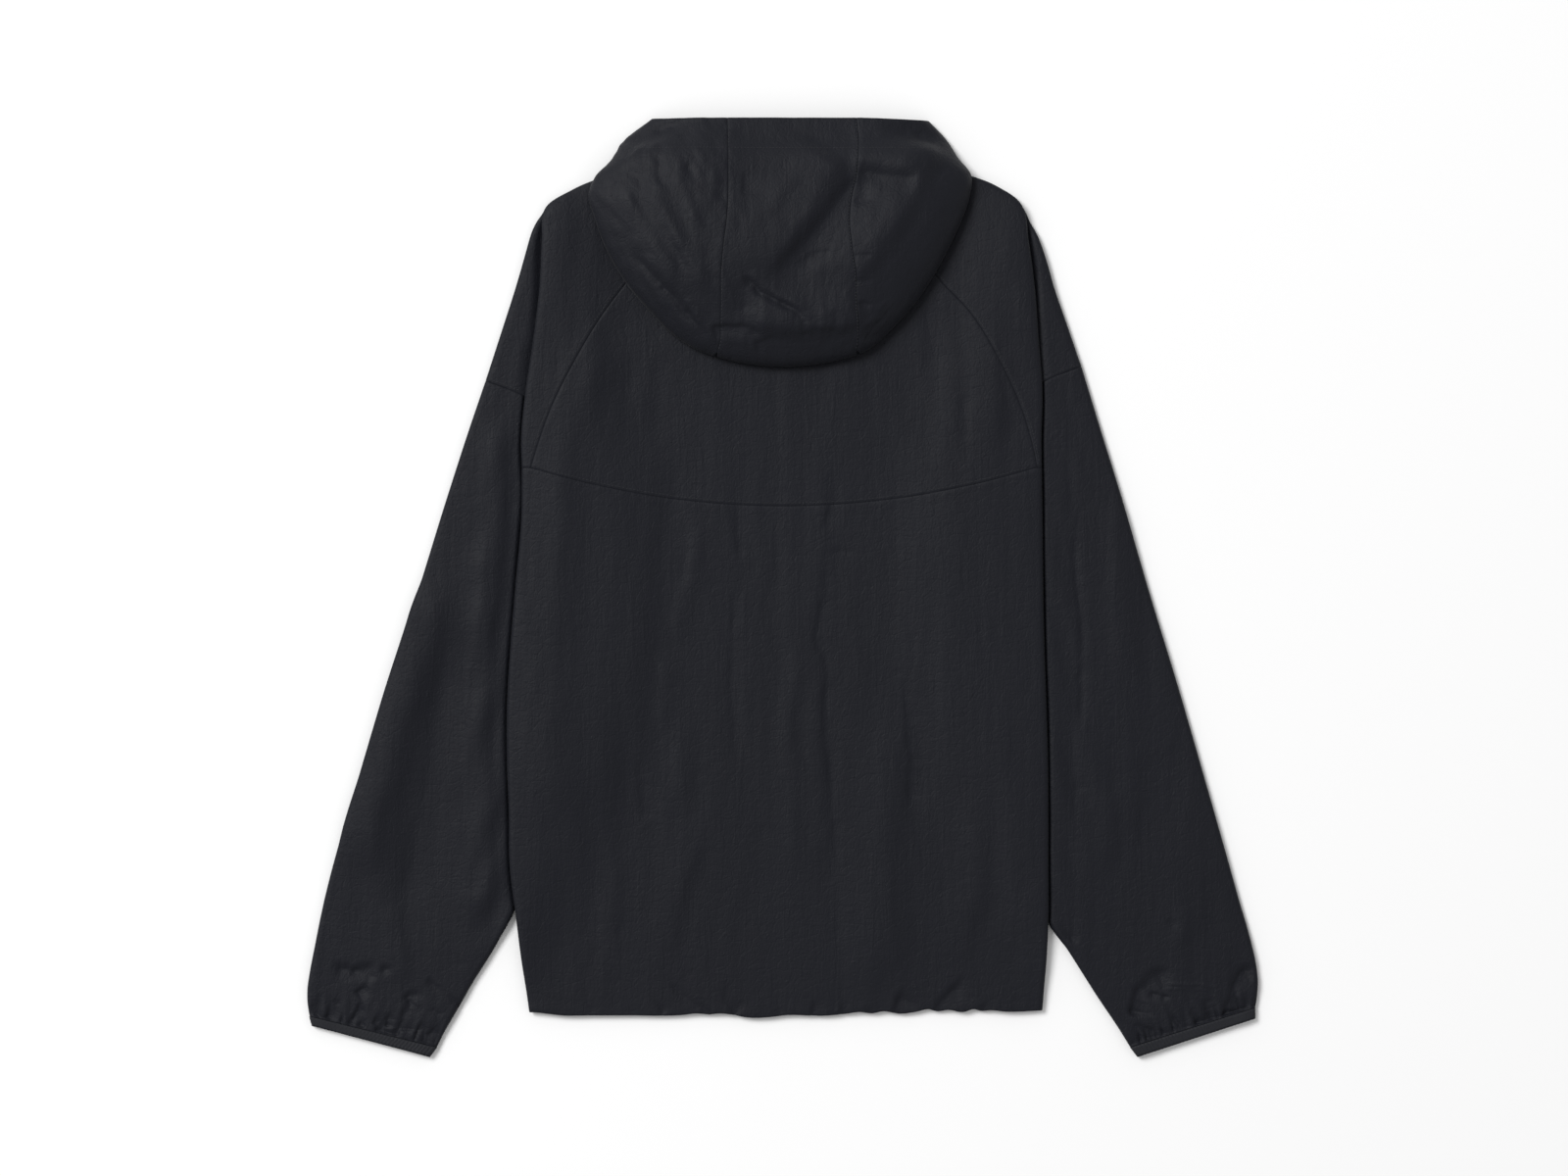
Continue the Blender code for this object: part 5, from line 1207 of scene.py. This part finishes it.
def gathers(side, x, y, height):
    """The short folds and low rolls that run up from the cuff."""
    across = np.abs(x) + 0.25 * y
    length = 17 + 12 * noise(across / 6, height / 90, SLEEVE_SEED + 12 + side)
    lines = noise(across / 5, height / 26, SLEEVE_SEED + 10 + side)
    folds = -FOLD_DEPTH * np.exp(-((lines / FOLD_SHARPNESS) ** 2)) * ease(1 - height / length)
    rolls = ROLL_HEIGHT * noise(across / 9, height / 22, SLEEVE_SEED + 14 + side)
    return folds + rolls * ease(1 - height / ROLL_LENGTH)


def sleeve_relief(side, x, y, column=None):
    """Creases clear of the body, and the steep slope down to where the body's edge lies on the sleeve."""
    beyond, free, height = beyond_body(side, x, y), sleeve_free(side, x, y), above_cuff(side, x, y)
    width = 2.8 + 5.5 * ease((y - 215) / 70)
    shelf = (3.6 * ease((beyond - 0.4) / width) - 1.0 * ease(beyond + 1)) * (1 - free)
    relief = creases_height(SLEEVE_CREASES[side], x, y) + crinkle(x, y, SLEEVE_SEED)
    return (relief + gathers(side, x, y, height)) * free * ease(height / 2.5) + shelf


def shoulder_relief(side, x, y, column):
    """The body's creases on the upper sheet, and the sleeve's on the part that comes out from under it."""
    from_seam = column if side > 0 else SHOULDER_COLUMNS - column
    return np.where(from_seam < UPPER_COLUMNS, body_relief(x, y, column), sleeve_relief(side, x, y))


def hood_relief(x, y, column):
    """The hood's creases, and crumples that are stronger on its left."""
    crumples = crumple(x, y, HOOD_SEED) * (0.4 + 0.75 * ease((-x - 20) / 60))
    return creases_height(HOOD_CREASES, x, y) + crumples + 0.6 * crinkle(x, y, HOOD_SEED + 10)


def flat_relief(x, y, column):
    return 0.8 * crinkle(x, y, FLAT_SEED)


SHELLS = {}              # by the node that a shell replaces, with its flat size and the small pieces on it


def finish_cloth(obj, node, flat, area):
    """Puts a shell in the place of a node's solid. flat is its cut size and area its share of that."""
    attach(obj, "jacket")
    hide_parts(node)
    SHELLS[node] = {"obj": obj, "flat": flat, "area": area, "pieces": []}


def build_body(finish):
    spacing = [5.0] * 6 + [1.8] * 28 + [5.0] * 6            # left return, top, right return
    shell = cloth(
        "back_cloth", back_panel_grid(), finish, spacing, 2.8, body_relief,
        seams="lrbt", seed=1, wave=hem_wave,
    )
    finish_cloth(shell, "back_panel", (0.550, 0.465), 0.93)
    shell = cloth("yoke_cloth", back_yoke_grid(), finish, 2.4, 2.5, body_relief, seams="lrbt", seed=2)
    finish_cloth(shell, "back_yoke", (0.425, 0.275), 0.66)
    for side in (-1, 1):
        name = name_of(side)
        shell = cloth(
            f"front_cloth_{name}", front_grid(side), finish, 3.5, 5.0, flat_relief,
            seams="lrbt", seed=3, wave=hem_wave,
        )
        finish_cloth(shell, f"front_{name}", (0.182, 0.715), 0.86)
        spacing = [2.4] * 7 + [3.5] * 7 + [2.4] * 11 + [5.0] * 10   # top, tuck, sleeve, underneath
        shell = cloth(
            f"shoulder_cloth_{name}", shoulder_grid(side), finish, spacing[::side], 2.4,
            partial(shoulder_relief, side), seams="lrbt", seed=5 + side,
        )
        finish_cloth(shell, f"shoulder_{name}", (0.36, 0.33), 0.5)


def build_sleeves(finish, elastic):
    for side in (-1, 1):
        name = name_of(side)
        upper, under = [1.35] * 30 + [2.0], [6.0] * 11 + [2.0]
        shell = cloth(
            f"sleeve_cloth_{name}", sleeve_grid(side), finish,
            upper + under if side > 0 else under + upper, [1.05] * 3 + [2.8] * 9,
            partial(sleeve_relief, side), ring=True, seams="bt", seed=9 + side,
        )
        finish_cloth(shell, f"sleeve_{name}", (0.36, 0.50), 0.93)
        fine, _ = refine(cuff_grid(side), 0.8, 1.6, ring=True)
        around = travelled_along(fine, 1)
        ribs = RIB_HEIGHT * np.sin(2 * np.pi * around / RIB_PITCH)
        ribs += 0.12 * noise(around / 6, fine[..., 1] / 8, RIB_SEED)
        fine = fine + grid_normals(fine, True) * ribs[..., None]
        shell = closed_shell(f"cuff_cloth_{name}", fine, elastic, True, CUFF_SHELL)
        finish_cloth(shell, f"cuff_{name}", (0.218, 0.010), 1.0)


def build_hood(finish):
    rows = [3.0] * 7 + [1.5] * 16            # underneath, then over the crown
    shell = cloth(
        "hood_cloth_centre", hood_centre_grid(), finish, 1.6, rows, hood_relief, seams="lrb", seed=13
    )
    finish_cloth(shell, "hood_centre", (0.125, 0.36), 0.85)
    for side in (-1, 1):
        name = name_of(side)
        columns = [1.6] * 9 + [1.8] * 3 + [3.5] * 4         # crown, fold, underneath
        shell = cloth(
            f"hood_cloth_{name}", hood_side_grid(side), finish, columns[::side], 1.6, hood_relief,
            seams="l" if side > 0 else "r", seed=15,
        )
        finish_cloth(shell, f"hood_{name}", (0.19, 0.26), 0.75)
        shell = cloth(
            f"chin_cloth_{name}", chin_grid(side), finish, 4.0, 4.0, flat_relief, seams="b", seed=17
        )
        finish_cloth(shell, f"chin_{name}", (0.105, 0.095), 0.65)


# ---- stitches
BODY_STITCH = {"pitch": 3.1, "length": 2.4, "width": 0.5}
HOOD_STITCH = {"pitch": 2.65, "length": 1.5, "width": 0.8}
RIM_STITCH = {"pitch": 2.65, "length": 1.7, "width": 0.6}
RIM_STITCH_Y = RIM_Y - 26.0
YOKE_MARGIN, RAGLAN_MARGIN, HOOD_MARGIN = 2.4, 2.6, 0.75    # from a seam to its stitches
STITCH_RISE, STITCH_SINK, STITCH_FLATNESS = 0.16, 0.08, 0.7


def surface_of(node):
    """Ray tester on the shell of a node."""
    mesh = SHELLS[node]["obj"].data
    return BVHTree.FromPolygons([v.co[:] for v in mesh.vertices], [list(p.vertices) for p in mesh.polygons])


def drop_on(surface, x, y, start_z):
    """Point and normal where a line straight down meets the surface, in the tables' frame, or None."""
    origin = (np.array([x, y, start_z]) - ORIGIN) * MM
    place, normal, _, _ = surface.ray_cast(origin.tolist(), (0, 0, -1))
    if place is None:
        return None
    return np.array(place) / MM + ORIGIN, np.array(normal)


def stitch(place, direction, normal, length, width):
    """A short thread that goes into the cloth at both ends."""
    side = np.cross(normal, direction)
    side /= np.linalg.norm(side)
    points = []
    for t in (-1, -0.6, 0, 0.6, 1):
        radius = width / 2 * (1 - 0.75 * t**4)
        centre = place + direction * t * length / 2 + normal * (STITCH_RISE * (1 - t * t) - STITCH_SINK)
        for angle in np.radians([0, 60, 120, 180, 240, 300]):
            up = normal * STITCH_FLATNESS * radius * np.sin(angle)
            points.append(centre + side * radius * np.cos(angle) + up)
    faces = [
        (6 * k + j, 6 * k + (j + 1) % 6, 6 * k + 6 + (j + 1) % 6, 6 * k + 6 + j)
        for k in range(4) for j in range(6)
    ]
    return points, faces + [tuple(range(5, -1, -1)), tuple(range(24, 30))]


def sew(name, x, y, thread, node, pitch, length, width, start_z=60.0):
    """A row of stitches along a line seen from above, on the shell of a node."""
    surface = surface_of(node)
    line = np.column_stack(np.broadcast_arrays(x, y)).astype(float)
    travelled = np.concatenate([[0], np.hypot(*np.diff(line, axis=0).T).cumsum()])
    points, faces = [], []
    for middle in np.arange(pitch / 2, travelled[-1], pitch):
        ends = [
            drop_on(surface, *(np.interp(middle + d, travelled, line[:, k]) for k in (0, 1)), start_z)
            for d in (-length / 2, length / 2)
        ]
        if None in ends or np.linalg.norm(ends[1][0] - ends[0][0]) > 1.6 * length:
            continue
        (start, start_normal), (end, end_normal) = ends
        direction = (end - start) / np.linalg.norm(end - start)
        normal = start_normal + end_normal
        normal -= direction * normal.dot(direction)
        normal /= np.linalg.norm(normal)
        made, made_faces = stitch((start + end) / 2, direction, normal, np.linalg.norm(end - start), width)
        faces += [tuple(len(points) + k for k in face) for face in made_faces]
        points += made
    obj = add_mesh(name, points, faces, thread)
    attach(obj, "jacket")
    SHELLS[node]["pieces"].append(obj)


def build_stitches(thread):
    x = np.linspace(-205, 206, 80)
    sew("stitch_yoke", x, UNDERARM_Y - yoke_sag(x) + YOKE_MARGIN, thread, "back_yoke", **BODY_STITCH)
    for side in (-1, 1):
        name = name_of(side)
        shoulder, hood = f"shoulder_{name}", f"hood_{name}"
        y = np.linspace(106, 338, 60)
        x = side * (RAGLAN_BACK.at(name, y) + RAGLAN_MARGIN)
        sew(f"stitch_raglan_{name}", x, y, thread, shoulder, **BODY_STITCH, start_z=30)
        _, outer_x, outer_y, inner_x, inner_y, _ = SLEEVES[side].rows[0]
        x = np.linspace(BODY_EDGE.at(name, 140) + 3, outer_x - 1.5, 30)
        y = section_y(outer_x, outer_y, inner_x, inner_y, 1, x) + RAGLAN_MARGIN
        sew(f"stitch_cap_{name}", side * x, y, thread, shoulder, **BODY_STITCH)
        table = HOODS[side]
        rows = np.linspace(0.1, 10.8, 90)
        x, y = side * (table.at("seam_x", rows) - HOOD_MARGIN), table.at("seam_y", rows)
        sew(f"stitch_hood_{name}", x, y, thread, "hood_centre", **HOOD_STITCH)
        x = np.linspace(table.rows[0, 1] + 2, table.rows[1, 3] - 4, 40)
        sew(f"stitch_rim_{name}", side * x, RIM_STITCH_Y, thread, hood, **RIM_STITCH)
    sew("stitch_rim", np.linspace(-44, 59, 40), RIM_STITCH_Y, thread, "hood_centre", **RIM_STITCH)


# ---- zip
TAPE_THICK, TAPE_GAP = 0.7, 0.16
TOOTH_PITCH = 2.5
TOOTH_REACH, TOOTH_TUCK = 1.5, 0.55      # out over its own tape, and over the middle line
TOOTH_HALF_LENGTH, TOOTH_HALF_HEIGHT = 0.5, 0.72
BOX_FACES = [(0, 2, 3, 1), (4, 5, 7, 6), (0, 1, 5, 4), (2, 6, 7, 3), (0, 4, 6, 2), (1, 3, 7, 5)]


def zip_tape(side, finish):
    levels = np.concatenate([np.linspace(HEM_Y, FRONT_NECK_Y, 60), np.linspace(304, RIM_Y, 40)])
    x = np.array([TAPE_GAP / 2, 1.0, 2.0, ZIP_WIDTH / 2])
    grid = np.array([stack(side * x, y, FLOOR + slider_lift(x, y)) for y in levels])[:, ::side]
    shell = closed_shell(f"zip_tape_{name_of(side)}", grid, finish, thickness=TAPE_THICK)
    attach(shell, "jacket")
    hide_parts("zip_strip")
    SHELLS[f"front_{name_of(side)}"]["pieces"].append(shell)


def zip_teeth(finish):
    """A tooth from each side in turn, in one mesh."""
    points, faces = [], []
    for number, y in enumerate(np.arange(HEM_Y + 4, RIM_Y - 3, TOOTH_PITCH / 2)):
        side = 1 if number % 2 else -1
        z = FLOOR + slider_lift(0, y)
        corners = [
            (side * u, y + v * TOOTH_HALF_LENGTH, z + w * TOOTH_HALF_HEIGHT)
            for w in (-1, 1) for v in (-1, 1) for u in (-TOOTH_TUCK, TOOTH_REACH)
        ]
        order = BOX_FACES if side > 0 else [face[::-1] for face in BOX_FACES]
        faces += [tuple(len(points) + k for k in face) for face in order]
        points += corners
    teeth = add_mesh("zip_teeth", points, faces, finish)
    teeth.data.shade_flat()
    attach(teeth, "jacket")
    SHELLS["front_right"]["pieces"].append(teeth)


def build_zip(tape, coil, metal):
    for side in (-1, 1):
        zip_tape(side, tape)
    zip_teeth(coil)
    for node in ("zip_slider", "zip_pull"):
        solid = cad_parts[node]
        solid.data.materials.clear()
        solid.data.materials.append(metal)


# ---- camera and light
CAMERA_PLACE, CAMERA_LENS, CAMERA_SENSOR = (0.0011, 0.0007, 3.117), 85, 36
FLOOR_HALF, FLOOR_LEVEL = 8.0, -0.0005
KEY_PLACE, KEY_SIZE, KEY_POWER = (-5.3, 3.9, 7.5), 4.2, 780
WORLD_STRENGTH = 0.506


def build_camera():
    camera = bpy.data.objects.new("camera", bpy.data.cameras.new("camera"))
    camera.data.lens, camera.data.sensor_width = CAMERA_LENS, CAMERA_SENSOR
    camera.location = CAMERA_PLACE
    bpy.context.collection.objects.link(camera)
    bpy.context.scene.camera = camera


def build_floor():
    mesh = bpy.data.meshes.new("studio_floor")
    half, low = FLOOR_HALF, FLOOR_LEVEL
    corners = [(-half, -half, low), (half, -half, low), (half, half, low), (-half, half, low)]
    mesh.from_pydata(corners, [], [(0, 1, 2, 3)])
    mesh.materials.append(plain_floor())
    floor = bpy.data.objects.new("studio_floor", mesh)
    bpy.context.collection.objects.link(floor)


def build_light():
    """One large soft lamp from the upper left, and an even white world."""
    lamp = bpy.data.lights.new("key_light", "AREA")
    lamp.size, lamp.energy = KEY_SIZE, KEY_POWER
    obj = bpy.data.objects.new("key_light", lamp)
    obj.location = KEY_PLACE
    obj.rotation_euler = (-obj.location.normalized()).to_track_quat("-Z", "Y").to_euler()
    bpy.context.collection.objects.link(obj)
    world = bpy.data.worlds.new("studio_world")
    world.use_nodes = True
    background = world.node_tree.nodes["Background"]
    background.inputs["Color"].default_value = (1, 1, 1, 1)
    background.inputs["Strength"].default_value = WORLD_STRENGTH
    bpy.context.scene.world = world
    bpy.context.scene.view_settings.view_transform = "Standard"


def main():
    cloth_finish = nylon()
    elastic = knit("cuff_elastic", (0.0058, 0.0067, 0.0104), 500, 4)
    thread = knit("sewing_thread", (0.018, 0.019, 0.023), 1500, 6)
    tape = knit("zip_tape_weave", (0.015, 0.015, 0.017), 900, 8)
    coil = teeth_nylon()
    build_body(cloth_finish)
    build_sleeves(cloth_finish, elastic)
    build_hood(cloth_finish)
    build_zip(tape, coil, black_metal())
    build_stitches(thread)
    build_camera()
    build_floor()
    build_light()


main()
